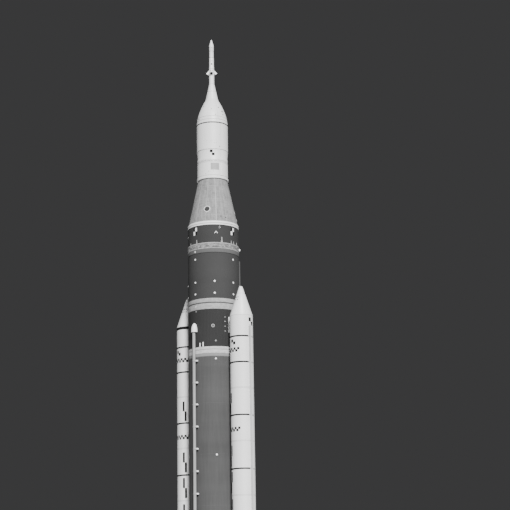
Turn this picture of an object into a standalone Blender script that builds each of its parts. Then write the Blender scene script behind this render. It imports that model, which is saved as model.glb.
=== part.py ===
"""One-to-ten scale model of a heavy-lift space rocket with two side boosters.

Lengths are written in metres of the full-size vehicle, and SCALE turns them into the model's metres.
Heights count from the exit plane of the booster nozzles. The model's Z is zero at the feet of the
booster skirts and points up, and its X runs through both boosters.
"""

import math

import bmesh
import bpy
from mathutils import Matrix, Vector

# Scale, and the gap between pieces that touch, which is 0.3 mm on the model
SCALE = 0.1
SEAM = 0.003
FEET_HEIGHT = 1.5

# Number of flat sides of the round pieces
CORE_SIDES = 40
BOOSTER_SIDES = 24
ENGINE_SIDES = 20
SMALL_SIDES = 16

# Escape tower, from its tip down
TIP_HEIGHT = 98.27
TOWER_RADIUS = 0.40
MOTOR_RADIUS = 0.43
NOSE_BASE = 97.1
ATTITUDE_MOTOR_BASE = 94.9
JETTISON_MOTOR_BASE = 92.8
MANIFOLD_BASE = 91.65
ABORT_MOTOR_BASE = 90.22
OGIVE_TOP = 87.17
OGIVE_TOP_RADIUS = 1.10
TIP_ROUND = 0.1
TIP_EDGE_ANGLE = 108.0
ATTITUDE_CASE_RADIUS = 0.37
ATTITUDE_PORTS_BASE = 96.35
ATTITUDE_CASE_TOP = 96.3
JETTISON_FLARE_TOP = 93.4
JETTISON_FLARE_BASE = 93.2
MANIFOLD_COLLAR_RADIUS = 0.48
MANIFOLD_COLLAR_TOP = 92.65
MANIFOLD_COLLAR_BASE = 92.2
MANIFOLD_NECK_TOP = 92.0
TOWER_CONE_RIM = 0.1
TOWER_CONE_STEP = 0.03
ABORT_NOZZLE_ANGLES = (45.0, 135.0, 225.0, 315.0)
ABORT_NOZZLE_CANT = 32.0
ABORT_NOZZLE_LENGTH = 0.95
ABORT_NOZZLE_START = (0.28, 92.72)
ABORT_THROAT_RADIUS = 0.12
ABORT_EXIT_RADIUS = 0.26
ABORT_BORE_DEPTH = 0.35
ABORT_BORE_RADII = (0.13, 0.22)

# Spacecraft and upper stage
FAIRING_RADIUS = 2.615
FAIRING_TOP = 82.6
FAIRING_BASE = 77.85
OGIVE_POWER = 1.78
OGIVE_STATIONS = 8
ADAPTER_BASE = 75.8
UPPER_STAGE_BASE = 72.85
STAGE_ADAPTER_BASE = 64.4

# Outlines of the stack above the core: radius and height, down the outer side
SPACECRAFT_ADAPTER_OUTLINE = (
    (2.595, FAIRING_BASE),
    (2.475, 76.6),
    (2.535, 76.45),
    (2.535, ADAPTER_BASE),
)
UPPER_STAGE_OUTLINE = (
    (2.55, ADAPTER_BASE),
    (2.55, 73.3),
    (2.625, 73.2),
    (2.625, UPPER_STAGE_BASE),
)
STAGE_ADAPTER_OUTLINE = (
    (2.425, UPPER_STAGE_BASE),
    (4.1, 65.0),
    (4.2, 65.0),
    (4.2, STAGE_ADAPTER_BASE),
)

# Crew hatch in the ogive fairing, on the side away from the boosters' line
HATCH_HEIGHT = 83.7
HATCH_HALF_WIDTH = 0.45
HATCH_HALF_HEIGHT = 0.55
HATCH_THICKNESS = 0.12
HATCH_CLEARANCE = 0.05
HATCH_POCKET_DEPTH = 0.55
HATCH_SKIN_REACH = 0.9
HATCH_SKIN_STATIONS = 6
HATCH_BLANK_DEPTH = 0.6
HINGE_OFFSET = 0.475
HINGE_PROUD = 0.01
HINGE_SPREAD = 0.35
KNUCKLE_RADIUS = 0.03
KNUCKLE_LENGTH = 0.10
LEAF_LENGTH = 0.14
LEAF_WIDTH = 0.08
LEAF_DEPTH = 0.12

# Core stage
CORE_RADIUS = 4.2
RING_RADIUS = 4.23
FORWARD_SKIRT_RADIUS = 4.18
FORWARD_SKIRT_BASE = 61.4
OXYGEN_TANK_BASE = 50.3
INTERTANK_BASE = 44.2
HYDROGEN_TANK_BASE = 10.4
ENGINE_SECTION_BASE = 5.1
BOATTAIL_BASE = 3.0
BOATTAIL_END_RADIUS = 4.05
BOATTAIL_INNER_RADIUS = 3.92
BASE_SHIELD_TOP = 3.5
BASE_SHIELD_BOTTOM = 3.35

# Closeout rings of the core: height where each stands full and where its slope meets the skin
OXYGEN_TOP_RING = (60.2, 59.9)
OXYGEN_BASE_RING = (51.95, 52.1)
HYDROGEN_TOP_RING = (42.6, 42.45)
ENGINE_SECTION_RING = (9.9, 9.8)
BOATTAIL_TOP = 4.7

# Main engines: name, X and Y of the gimbal point
ENGINES = (
    ("engine_1", -1.8, -1.8),
    ("engine_2", 1.8, -1.8),
    ("engine_3", -1.8, 1.8),
    ("engine_4", 1.8, 1.8),
)
GIMBAL_HEIGHT = 4.57
GIMBAL_BALL_RADIUS = 0.2
GIMBAL_SEAT_RADIUS = 0.12
THRUST_STUB_RADIUS = 0.3
THRUST_STUB_SUNK = 0.2
POWERHEAD_RADIUS = 0.75
POWERHEAD_TOP = 0.35
POWERHEAD_BOTTOM = 1.05
POWERHEAD_NECK_RADIUS = 0.2
THROAT_DEPTH = 1.2
THROAT_RADIUS = 0.13
BELL_LENGTH = 3.05
BELL_EXIT_RADIUS = 1.15
BELL_WALL = 0.05
BELL_POWER = 0.6
BELL_STATIONS = 6
BELL_CROWDING = 1.6
BELL_COLLAR_RADIUS = 0.3
BELL_SKIN_DEPTH = 1.6
CAP_RADIUS = 1.45
CAP_WALL = 0.06
CAP_EDGE_ANGLE = 48.5
CAP_ROOT_ANGLES = (17.0, 16.8)
DOME_CLEARANCE = 0.07
DOME_WALL = 0.06
DOME_EDGE_ANGLE = 33.0
DOME_LIP_ANGLE = 31.0
DOME_HOLLOW_ANGLE = 56.0

# Boosters: name, side of the core
BOOSTERS = (("booster_left", -1.0), ("booster_right", 1.0))
BOOSTER_OFFSET = 6.36
BOOSTER_RADIUS = 1.855
BOOSTER_TIP = 53.87
BOOSTER_TIP_RADIUS = 0.33
NOSE_HALF_ANGLE = 18.2
BOOSTER_NOSE_BASE = 48.85
JOINT_RING_RADIUS = 1.885
JOINT_RING_HEIGHT = 0.22
SEGMENT_TOPS = (45.54, 41.37, 32.97, 24.57, 16.17)
AFT_SKIRT_TOP = 3.8
SKIRT_TOP_RADIUS = 1.93
SKIRT_BASE_RADIUS = 2.645
SKIRT_RIM_HEIGHT = 1.6
SKIRT_WALL = 0.13
SKIRT_RIM_TALL = 0.15
SKIRT_RING_HEIGHTS = (3.45, 2.85)
SKIRT_RING_PROUD = 0.04
SKIRT_RING_HALF = 0.05
CURTAIN_HEIGHT = 2.2
CURTAIN_WALL = 0.1
CURTAIN_HOLE_RADIUS = 1.45
FOOT_ANGLES = (45.0, 135.0, 225.0, 315.0)
FOOT_RADIUS = 2.62
FOOT_SIZE = 0.5
FOOT_TALL = 0.7
NOZZLE_PIVOT_HEIGHT = 3.5
BEARING_RADIUS = 0.3
BEARING_SEAT_RADIUS = 0.2
NOZZLE_THROAT_DEPTH = 0.9
NOZZLE_THROAT_RADIUS = 0.65
NOZZLE_EXIT_RADIUS = 1.8
NOZZLE_WALL = 0.1
NOZZLE_POWER = 0.8
NOZZLE_STATIONS = 5
COLLAR_RADIUS = 1.9
COLLAR_WALL = 0.07
COLLAR_EDGE_ANGLE = 55.0
COLLAR_ROOT_ANGLES = (36.0, 36.6)
NOZZLE_BODY_RADIUS = 0.88
NOZZLE_BODY_DEPTHS = (0.6, 1.1)
NOZZLE_SKIN_DEPTH = 1.9

# What joins the boosters to the core
ATTACH_HEIGHT = 12.0
ATTACH_RING_RADIUS = 2.05
ATTACH_RING_TALL = 0.36
STRUT_RADIUS = 0.11
STRUT_RING_REACH = 1.93
STRUT_RING_ANGLE = 62.0
STRUT_CORE_REACH = 4.05
STRUT_CORE_ANGLE = 36.0
DIAGONAL_DROP = 1.0
RACEWAY_NOTCH_ROOM = 0.05
FITTING_OVERLAP = 0.3
FORWARD_FITTING_HEIGHT = 47.0
FORWARD_FITTING_SIZE = 0.55

# Lines along the outside
FEEDLINES = (("feedline_front", -1.0), ("feedline_rear", 1.0))
FEEDLINE_RADIUS = 0.25
FEEDLINE_OFFSET = 4.5
FEEDLINE_TOP = 47.0
FEEDLINE_BOTTOM = 8.8
FEED_FAIRING_RADIUS = 0.52
FEED_FAIRING_LENGTH = 1.5
FEED_FAIRING_SUNK = 0.13
FEED_FAIRING_OVERLAP = 0.3
BRACKET_SIZE = (0.66, 0.4, 0.26)
BRACKET_SHIFT = 0.24
BRACKET_TOP = 42.0
BRACKET_SPACING = 3.52
BRACKET_COUNT = 9
FLANGE_PROUD = 0.04
FLANGE_TALL = 0.2

# Feed line fairings: share of the length from the line's end, and share of the full width
FEED_FAIRING_SHAPE = ((0.0, 1.0), (0.55, 0.85), (0.85, 0.5), (1.0, 0.12))

TUNNEL_ANGLE = 63.0
TUNNEL_TOP = 59.4
TUNNEL_BOTTOM = 9.0
TUNNEL_WIDTH = 0.6
TUNNEL_DEPTH = 0.28
RACEWAY_WIDTH = 0.36
RACEWAY_DEPTH = 0.13
RACEWAY_TOP = 47.4
RACEWAY_BOTTOM = 4.2

# Finishes: name, grey level, roughness, metallic
FINISHES = {
    "white_paint": (0.78, 0.5, 0.0),
    "grey_paint": (0.42, 0.6, 0.0),
    "dark_foam": (0.12, 0.9, 0.0),
    "black_foam": (0.07, 0.9, 0.0),
    "light_ring": (0.5, 0.7, 0.0),
    "cork": (0.45, 0.8, 0.0),
    "bare_metal": (0.35, 0.35, 0.9),
    "heat_shield": (0.3, 0.8, 0.0),
    "nozzle_black": (0.05, 0.6, 0.0),
}


def clear_scene():
    """Removes every object of the scene."""
    for old in list(bpy.data.objects):
        bpy.data.objects.remove(old, do_unlink=True)


def new_collection(name, helper=False):
    """A collection in the scene; a helper's objects don't render."""
    collection = bpy.data.collections.new(name)
    collection.hide_render = helper
    bpy.context.scene.collection.children.link(collection)
    return collection


def finish_of(name):
    """The Principled material of that name, made once."""
    material = bpy.data.materials.get(name)
    if material:
        return material
    grey, roughness, metallic = FINISHES[name]
    material = bpy.data.materials.new(name)
    material.use_nodes = True
    shader = material.node_tree.nodes["Principled BSDF"]
    shader.inputs["Base Color"].default_value = (grey, grey, grey, 1.0)
    shader.inputs["Roughness"].default_value = roughness
    shader.inputs["Metallic"].default_value = metallic
    return material


def place(x, y, height):
    """A point of the model from full-size X, Y and height."""
    return Vector((x, y, height - FEET_HEIGHT)) * SCALE


def link(name, mesh, finish, location):
    """Adds a mesh as a part, or as a cutter when it has no finish."""
    obj = bpy.data.objects.new(name, mesh)
    obj.location = location
    if finish is None:
        obj.hide_render = True
        obj.display_type = "WIRE"
        bpy.data.collections["cutters"].objects.link(obj)
    else:
        mesh.materials.append(finish_of(finish))
        bpy.data.collections["space_rocket"].objects.link(obj)
    return obj


def turned(name, outline, finish, sides, centre=(0.0, 0.0), base=FEET_HEIGHT, loop=False):
    """Turns (radius, height) points about the upright line through centre.

    The points run down the outer side. A loop comes back up an inner side and meets its start.
    The object's origin lies on the line, at the height named base.
    """
    mesh = bpy.data.meshes.new(name)
    points = [(radius * SCALE, 0.0, (height - base) * SCALE) for radius, height in outline]
    edges = [(index, index + 1) for index in range(len(points) - 1)]
    if loop:
        edges.append((len(points) - 1, 0))
    mesh.from_pydata(points, edges, [])
    obj = link(name, mesh, finish, place(*centre, base))
    screw = obj.modifiers.new("turn", "SCREW")
    screw.axis = "Z"
    screw.angle = math.tau
    screw.steps = sides
    screw.render_steps = sides
    screw.use_merge_vertices = True
    screw.merge_threshold = 0.00005
    return obj


def solid_outline(outline):
    """Closes an outer outline with flat ends on the axis."""
    return [(0.0, outline[0][1]), *outline, (0.0, outline[-1][1])]


def stacked(name, outline, finish, sides=CORE_SIDES, centre=(0.0, 0.0)):
    """A solid section of a stack, whose lower face stops a seam above the next one."""
    radius, height = outline[-1]
    return turned(name, solid_outline([*outline[:-1], (radius, height + SEAM)]), finish, sides, centre)


def block(name, size, finish, matrix):
    """A box of full-size dimensions, centred where the matrix puts it."""
    mesh = bpy.data.meshes.new(name)
    shape = bmesh.new()
    bmesh.ops.create_cube(shape, size=1.0)
    bmesh.ops.scale(shape, vec=Vector(size) * SCALE, verts=shape.verts)
    shape.to_mesh(mesh)
    shape.free()
    obj = link(name, mesh, finish, (0.0, 0.0, 0.0))
    obj.matrix_world = matrix
    return obj


def rod(name, start, end, radius, finish, end_radius=None, sides=SMALL_SIDES):
    """A round bar or cone between two points of the model."""
    mesh = bpy.data.meshes.new(name)
    run = end - start
    shape = bmesh.new()
    bmesh.ops.create_cone(
        shape,
        cap_ends=True,
        segments=sides,
        radius1=radius * SCALE,
        radius2=(radius if end_radius is None else end_radius) * SCALE,
        depth=run.length,
    )
    shape.to_mesh(mesh)
    shape.free()
    obj = link(name, mesh, finish, (0.0, 0.0, 0.0))
    turn = run.to_track_quat("Z", "Y").to_matrix().to_4x4()
    obj.matrix_world = Matrix.Translation((start + end) / 2) @ turn
    return obj


def combine(obj, other, operation):
    """Joins another object to a part, or cuts it out of the part."""
    boolean = obj.modifiers.new(other.name, "BOOLEAN")
    boolean.operation = operation
    boolean.solver = "EXACT"
    boolean.object = other


def upright(x, y, height, turn=0.0):
    """Matrix of a piece that stands at a place, turned about Z by degrees."""
    return Matrix.Translation(place(x, y, height)) @ Matrix.Rotation(math.radians(turn), 4, "Z")


def around(angle, radius):
    """X and Y at an angle in degrees and a radius about the core's axis."""
    return radius * math.cos(math.radians(angle)), radius * math.sin(math.radians(angle))


def arc(radius, centre_height, first, last, count):
    """Points on a circle about the axis, by angles in degrees from straight down."""
    angles = [math.radians(first + (last - first) * step / count) for step in range(count + 1)]
    return [(radius * math.sin(angle), centre_height - radius * math.cos(angle)) for angle in angles]


def escape_tower():
    """The tower's motors, one above the other, and the cone that carries them."""
    tip = arc(TIP_ROUND, TIP_HEIGHT - TIP_ROUND, 180.0, TIP_EDGE_ANGLE, 3)
    nose = [*tip, (TOWER_RADIUS, NOSE_BASE + SEAM), (0.0, NOSE_BASE + SEAM)]
    turned("tower_nose", nose, "white_paint", SMALL_SIDES)
    stacked(
        "attitude_motor",
        [
            (TOWER_RADIUS, NOSE_BASE),
            (TOWER_RADIUS, ATTITUDE_PORTS_BASE),
            (ATTITUDE_CASE_RADIUS, ATTITUDE_CASE_TOP),
            (ATTITUDE_CASE_RADIUS, ATTITUDE_MOTOR_BASE),
        ],
        "white_paint",
        SMALL_SIDES,
    )
    stacked(
        "jettison_motor",
        [
            (TOWER_RADIUS, ATTITUDE_MOTOR_BASE),
            (TOWER_RADIUS, JETTISON_FLARE_TOP),
            (MOTOR_RADIUS, JETTISON_FLARE_BASE),
            (MOTOR_RADIUS, JETTISON_MOTOR_BASE),
        ],
        "white_paint",
        SMALL_SIDES,
    )
    manifold = stacked(
        "abort_manifold",
        [
            (MOTOR_RADIUS, JETTISON_MOTOR_BASE),
            (MANIFOLD_COLLAR_RADIUS, MANIFOLD_COLLAR_TOP),
            (MANIFOLD_COLLAR_RADIUS, MANIFOLD_COLLAR_BASE),
            (MOTOR_RADIUS, MANIFOLD_NECK_TOP),
            (MOTOR_RADIUS, MANIFOLD_BASE),
        ],
        "white_paint",
        SMALL_SIDES,
    )
    for angle in ABORT_NOZZLE_ANGLES:
        start_radius, start_height = ABORT_NOZZLE_START
        cant = math.radians(ABORT_NOZZLE_CANT)
        inner = Vector((*around(angle, start_radius), start_height))
        outward = Vector((*around(angle, math.sin(cant)), -math.cos(cant)))
        outer = inner + outward * ABORT_NOZZLE_LENGTH
        ends = (place(*inner), place(*outer))
        label = f"abort_nozzle_{angle:.0f}"
        nozzle = rod(label, *ends, ABORT_THROAT_RADIUS, None, ABORT_EXIT_RADIUS, 12)
        combine(manifold, nozzle, "UNION")
        bore_start = place(*(outer - outward * ABORT_BORE_DEPTH))
        bore_end = place(*(outer + outward * SEAM))
        narrow, wide = ABORT_BORE_RADII
        bore = rod(label + "_bore", bore_start, bore_end, narrow, None, wide, 12)
        combine(manifold, bore, "DIFFERENCE")
    stacked(
        "abort_motor",
        [(MOTOR_RADIUS, MANIFOLD_BASE), (MOTOR_RADIUS, ABORT_MOTOR_BASE)],
        "white_paint",
        SMALL_SIDES,
    )
    stacked(
        "tower_adapter",
        [
            (MOTOR_RADIUS, ABORT_MOTOR_BASE),
            (OGIVE_TOP_RADIUS - TOWER_CONE_STEP, OGIVE_TOP + TOWER_CONE_RIM),
            (OGIVE_TOP_RADIUS, OGIVE_TOP + TOWER_CONE_RIM),
            (OGIVE_TOP_RADIUS, OGIVE_TOP),
        ],
        "white_paint",
        SMALL_SIDES,
    )


def ogive_radius(height):
    """Radius of the ogive fairing at a height."""
    rise = (height - FAIRING_TOP) / (OGIVE_TOP - FAIRING_TOP)
    return FAIRING_RADIUS - (FAIRING_RADIUS - OGIVE_TOP_RADIUS) * rise**OGIVE_POWER


def ogive_outline(top, bottom, stations, inset=0.0):
    """Points down the ogive fairing's side, moved inward by inset."""
    heights = [top + (bottom - top) * step / stations for step in range(stations + 1)]
    return [(ogive_radius(height) - inset, height) for height in heights]


def hatch_matrix():
    """Frame of the hatch: X along the model's X, Y up the fairing's slope, Z outward."""
    low = ogive_radius(HATCH_HEIGHT - HATCH_HALF_HEIGHT)
    high = ogive_radius(HATCH_HEIGHT + HATCH_HALF_HEIGHT)
    lean = math.atan2(low - high, 2 * HATCH_HALF_HEIGHT)
    up = Vector((0.0, -math.sin(lean), math.cos(lean)))
    across = Vector((-1.0, 0.0, 0.0))
    out = across.cross(up)
    turn = Matrix((across, up, out)).transposed().to_4x4()
    return Matrix.Translation(place(0.0, ogive_radius(HATCH_HEIGHT), HATCH_HEIGHT)) @ turn


def hatch_shift(x, y, z):
    """The hatch's frame, moved along its own axes by full-size lengths."""
    return hatch_matrix() @ Matrix.Translation(Vector((x, y, z)) * SCALE)


def knuckle(name, side, middle):
    """One hinge knuckle with its leaf: side -1 lies on the fairing and 1 on the hatch."""
    pin = hatch_shift(-HINGE_OFFSET, middle, HINGE_PROUD)
    half = Vector((0.0, KNUCKLE_LENGTH / 2 * SCALE, 0.0))
    barrel = rod(name + "_barrel", pin @ -half, pin @ half, KNUCKLE_RADIUS, None, sides=8)
    reach = side * LEAF_LENGTH / 2
    leaf_size = (LEAF_LENGTH, LEAF_WIDTH, LEAF_DEPTH)
    leaf_middle = Vector((reach, 0.0, HINGE_PROUD - LEAF_DEPTH / 2)) * SCALE
    leaf = block(name + "_leaf", leaf_size, None, pin @ Matrix.Translation(leaf_middle))
    return barrel, leaf


def spacecraft():
    """The ogive fairing with its crew hatch, the service fairing and the upper stage."""
    ogive = stacked("ogive_fairing", ogive_outline(OGIVE_TOP, FAIRING_TOP, OGIVE_STATIONS), "white_paint")
    pocket_size = (
        2 * (HATCH_HALF_WIDTH + HATCH_CLEARANCE),
        2 * (HATCH_HALF_HEIGHT + HATCH_CLEARANCE),
        2 * HATCH_POCKET_DEPTH,
    )
    combine(ogive, block("hatch_pocket", pocket_size, None, hatch_matrix()), "DIFFERENCE")

    span = (HATCH_HEIGHT + HATCH_SKIN_REACH, HATCH_HEIGHT - HATCH_SKIN_REACH, HATCH_SKIN_STATIONS)
    skin = [*ogive_outline(*span), *reversed(ogive_outline(*span, HATCH_THICKNESS))]
    skin_ring = turned("hatch_skin", skin, None, CORE_SIDES, loop=True)
    hinge = hatch_shift(-HINGE_OFFSET, 0.0, HINGE_PROUD)
    hatch = block("crew_hatch", (1.0, 1.0, 1.0), "white_paint", hinge)
    plate_size = Vector((2 * HATCH_HALF_WIDTH, 2 * HATCH_HALF_HEIGHT, HATCH_BLANK_DEPTH))
    for corner in hatch.data.vertices:
        corner.co = Vector(
            (
                corner.co.x * plate_size.x + HINGE_OFFSET * SCALE,
                corner.co.y * plate_size.y,
                corner.co.z * plate_size.z - HINGE_PROUD * SCALE,
            )
        )
    combine(hatch, skin_ring, "INTERSECT")
    for label, middle in (("low", -1.0), ("high", 1.0)):
        fixed_middle = middle * HINGE_SPREAD
        door_middle = middle * (HINGE_SPREAD - KNUCKLE_LENGTH - SEAM)
        for piece in knuckle(f"fairing_hinge_{label}", -1.0, fixed_middle):
            combine(ogive, piece, "UNION")
        for piece in knuckle(f"hatch_hinge_{label}", 1.0, door_middle):
            combine(hatch, piece, "UNION")

    stacked(
        "service_fairing",
        [(FAIRING_RADIUS, FAIRING_TOP), (FAIRING_RADIUS, FAIRING_BASE)],
        "white_paint",
    )
    stacked("spacecraft_adapter", SPACECRAFT_ADAPTER_OUTLINE, "white_paint")
    stacked("upper_stage", UPPER_STAGE_OUTLINE, "white_paint")
    stacked("stage_adapter", STAGE_ADAPTER_OUTLINE, "grey_paint")


def core_stage():
    """The core's tanks and skirts from the stage adapter down to the boattail."""
    stacked(
        "core_forward_skirt",
        [(FORWARD_SKIRT_RADIUS, STAGE_ADAPTER_BASE), (FORWARD_SKIRT_RADIUS, FORWARD_SKIRT_BASE)],
        "dark_foam",
    )
    stacked(
        "oxygen_tank",
        [
            (RING_RADIUS, FORWARD_SKIRT_BASE),
            (RING_RADIUS, OXYGEN_TOP_RING[0]),
            (CORE_RADIUS, OXYGEN_TOP_RING[1]),
            (CORE_RADIUS, OXYGEN_BASE_RING[1]),
            (RING_RADIUS, OXYGEN_BASE_RING[0]),
            (RING_RADIUS, OXYGEN_TANK_BASE),
        ],
        "dark_foam",
    )
    stacked(
        "intertank",
        [(CORE_RADIUS, OXYGEN_TANK_BASE), (CORE_RADIUS, INTERTANK_BASE)],
        "black_foam",
    )
    stacked(
        "hydrogen_tank",
        [
            (RING_RADIUS, INTERTANK_BASE),
            (RING_RADIUS, HYDROGEN_TOP_RING[0]),
            (CORE_RADIUS, HYDROGEN_TOP_RING[1]),
            (CORE_RADIUS, HYDROGEN_TANK_BASE),
        ],
        "dark_foam",
    )
    section = turned(
        "engine_section",
        solid_outline(
            [
                (RING_RADIUS, HYDROGEN_TANK_BASE),
                (RING_RADIUS, ENGINE_SECTION_RING[0]),
                (CORE_RADIUS, ENGINE_SECTION_RING[1]),
                (CORE_RADIUS, ENGINE_SECTION_BASE),
            ]
        ),
        "dark_foam",
        CORE_SIDES,
    )
    for name, x, y in ENGINES:
        seat_height = GIMBAL_HEIGHT + GIMBAL_BALL_RADIUS + SEAM
        stub = rod(
            name + "_thrust_stub",
            place(x, y, seat_height),
            place(x, y, ENGINE_SECTION_BASE + THRUST_STUB_SUNK),
            GIMBAL_SEAT_RADIUS,
            None,
            THRUST_STUB_RADIUS,
        )
        combine(section, stub, "UNION")
    turned(
        "boattail",
        [
            (CORE_RADIUS, ENGINE_SECTION_BASE - SEAM),
            (CORE_RADIUS, BOATTAIL_TOP),
            (BOATTAIL_END_RADIUS, BOATTAIL_BASE),
            (BOATTAIL_INNER_RADIUS, BOATTAIL_BASE),
            (BOATTAIL_INNER_RADIUS, ENGINE_SECTION_BASE - SEAM),
        ],
        "dark_foam",
        CORE_SIDES,
        loop=True,
    )
    base_heat_shield()


def base_heat_shield():
    """The flat base with one domed ring about each engine."""
    plate_radius = BOATTAIL_INNER_RADIUS - 2 * SEAM
    shield = turned(
        "base_heat_shield",
        solid_outline([(plate_radius, BASE_SHIELD_TOP), (plate_radius, BASE_SHIELD_BOTTOM)]),
        "heat_shield",
        CORE_SIDES,
    )
    inner = CAP_RADIUS + DOME_CLEARANCE
    outer = inner + DOME_WALL
    middle = (BASE_SHIELD_TOP + BASE_SHIELD_BOTTOM) / 2
    domes = []
    holes = []
    for name, x, y in ENGINES:
        rise = math.degrees(math.acos((GIMBAL_HEIGHT - middle) / outer))
        bulge = arc(outer, GIMBAL_HEIGHT, rise, DOME_LIP_ANGLE, 3)
        domes.append(turned(name + "_dome", solid_outline(bulge), None, ENGINE_SIDES, (x, y)))
        hollow = arc(inner, GIMBAL_HEIGHT, DOME_HOLLOW_ANGLE, DOME_EDGE_ANGLE, 4)
        cut = [*hollow, (hollow[-1][0], GIMBAL_HEIGHT - outer - 2 * DOME_WALL)]
        holes.append(turned(name + "_hole", solid_outline(cut), None, ENGINE_SIDES, (x, y)))
    for dome in domes:
        combine(shield, dome, "UNION")
    for hole in holes:
        combine(shield, hole, "DIFFERENCE")


def ball(name, radius, centre, height, finish):
    """A bearing ball whose origin is its middle."""
    profile = arc(radius, height, 180.0, 0.0, 8)
    profile[0] = (0.0, height + radius)
    profile[-1] = (0.0, height - radius)
    return turned(name, profile, finish, 12, centre, height)


def bell_radius(depth):
    """Inner radius of an engine's bell at a depth below the gimbal point."""
    run = (depth - THROAT_DEPTH) / BELL_LENGTH
    return THROAT_RADIUS + (BELL_EXIT_RADIUS - THROAT_RADIUS) * run**BELL_POWER


def main_engine(name, x, y):
    """The gimbal ball, the powerhead as a plain block, and the bell with its heat shield cap."""
    ball(name + "_gimbal", GIMBAL_BALL_RADIUS, (x, y), GIMBAL_HEIGHT, "bare_metal")
    top = GIMBAL_HEIGHT - GIMBAL_BALL_RADIUS - SEAM
    powerhead = [
        (GIMBAL_SEAT_RADIUS, top),
        (POWERHEAD_NECK_RADIUS, GIMBAL_HEIGHT - POWERHEAD_TOP),
        (POWERHEAD_RADIUS, GIMBAL_HEIGHT - POWERHEAD_TOP),
        (POWERHEAD_RADIUS, GIMBAL_HEIGHT - POWERHEAD_BOTTOM + SEAM),
    ]
    turned(name + "_powerhead", solid_outline(powerhead), "bare_metal", 12, (x, y), GIMBAL_HEIGHT)

    shares = [(step / BELL_STATIONS) ** BELL_CROWDING for step in range(BELL_STATIONS + 1)]
    depths = [THROAT_DEPTH + BELL_LENGTH * share for share in shares]
    inside = [(bell_radius(depth), GIMBAL_HEIGHT - depth) for depth in depths]
    inner_root, outer_root = CAP_ROOT_ANGLES
    cap = [
        *arc(CAP_RADIUS - CAP_WALL, GIMBAL_HEIGHT, inner_root, CAP_EDGE_ANGLE, 3),
        *arc(CAP_RADIUS, GIMBAL_HEIGHT, CAP_EDGE_ANGLE, outer_root, 3),
    ]
    skin_top = GIMBAL_HEIGHT - BELL_SKIN_DEPTH
    outside = [
        (BELL_COLLAR_RADIUS, GIMBAL_HEIGHT - POWERHEAD_BOTTOM),
        *cap,
        *[(radius + BELL_WALL, height) for radius, height in inside if height < skin_top],
    ]
    outline = [
        (0.0, GIMBAL_HEIGHT - POWERHEAD_BOTTOM),
        *outside,
        *reversed(inside),
        (0.0, GIMBAL_HEIGHT - THROAT_DEPTH),
    ]
    turned(name + "_bell", outline, "bare_metal", ENGINE_SIDES, (x, y), GIMBAL_HEIGHT)


def feedline(name, side):
    """A propellant line down the core's side, with a fairing at each end."""
    y = side * FEEDLINE_OFFSET
    bracket_heights = [BRACKET_TOP - index * BRACKET_SPACING for index in range(BRACKET_COUNT)]
    profile = [(FEEDLINE_RADIUS, FEEDLINE_TOP)]
    for height in bracket_heights:
        high = height + FLANGE_TALL / 2
        low = height - FLANGE_TALL / 2
        proud = FEEDLINE_RADIUS + FLANGE_PROUD
        profile += [(FEEDLINE_RADIUS, high), (proud, high), (proud, low), (FEEDLINE_RADIUS, low)]
    profile.append((FEEDLINE_RADIUS, FEEDLINE_BOTTOM))
    line = turned(name, solid_outline(profile), "light_ring", 12, (0.0, y))
    core_cut = bpy.data.objects["core_cut"]
    fairing_y = side * (FEEDLINE_OFFSET - FEED_FAIRING_SUNK)
    # Fairings: label, height of the wide end, and 1 where the point is up or -1 where it is down
    fairings = (
        ("upper", FEEDLINE_TOP - FEED_FAIRING_OVERLAP, 1.0),
        ("lower", FEEDLINE_BOTTOM + FEED_FAIRING_OVERLAP, -1.0),
    )
    for label, low, point in fairings:
        outline = [
            (FEED_FAIRING_RADIUS * width, low + point * FEED_FAIRING_LENGTH * length)
            for length, width in FEED_FAIRING_SHAPE
        ]
        if point > 0:
            outline.reverse()
        fairing = turned(f"{name}_{label}_fairing", solid_outline(outline), None, 12, (0.0, fairing_y))
        combine(line, fairing, "UNION")
    for number, height in enumerate(bracket_heights, start=1):
        spot = upright(BRACKET_SHIFT, side * CORE_RADIUS, height)
        combine(line, block(f"{name}_bracket_{number}", BRACKET_SIZE, None, spot), "UNION")
    combine(line, core_cut, "DIFFERENCE")


def outside_lines():
    """The feed lines and the systems tunnel of the core."""
    cut = [(CORE_RADIUS + SEAM, FORWARD_SKIRT_BASE), (CORE_RADIUS + SEAM, ENGINE_SECTION_BASE)]
    turned("core_cut", solid_outline(cut), None, CORE_SIDES)
    for name, side in FEEDLINES:
        feedline(name, side)
    middle = (TUNNEL_TOP + TUNNEL_BOTTOM) / 2
    x, y = around(TUNNEL_ANGLE, RING_RADIUS + SEAM + TUNNEL_DEPTH / 2)
    block(
        "systems_tunnel",
        (TUNNEL_DEPTH, TUNNEL_WIDTH, TUNNEL_TOP - TUNNEL_BOTTOM),
        "light_ring",
        upright(x, y, middle, TUNNEL_ANGLE),
    )


def nozzle_radius(depth):
    """Inner radius of a booster's nozzle at a depth below its pivot."""
    run = (depth - NOZZLE_THROAT_DEPTH) / (NOZZLE_PIVOT_HEIGHT - NOZZLE_THROAT_DEPTH)
    return NOZZLE_THROAT_RADIUS + (NOZZLE_EXIT_RADIUS - NOZZLE_THROAT_RADIUS) * run**NOZZLE_POWER


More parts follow.
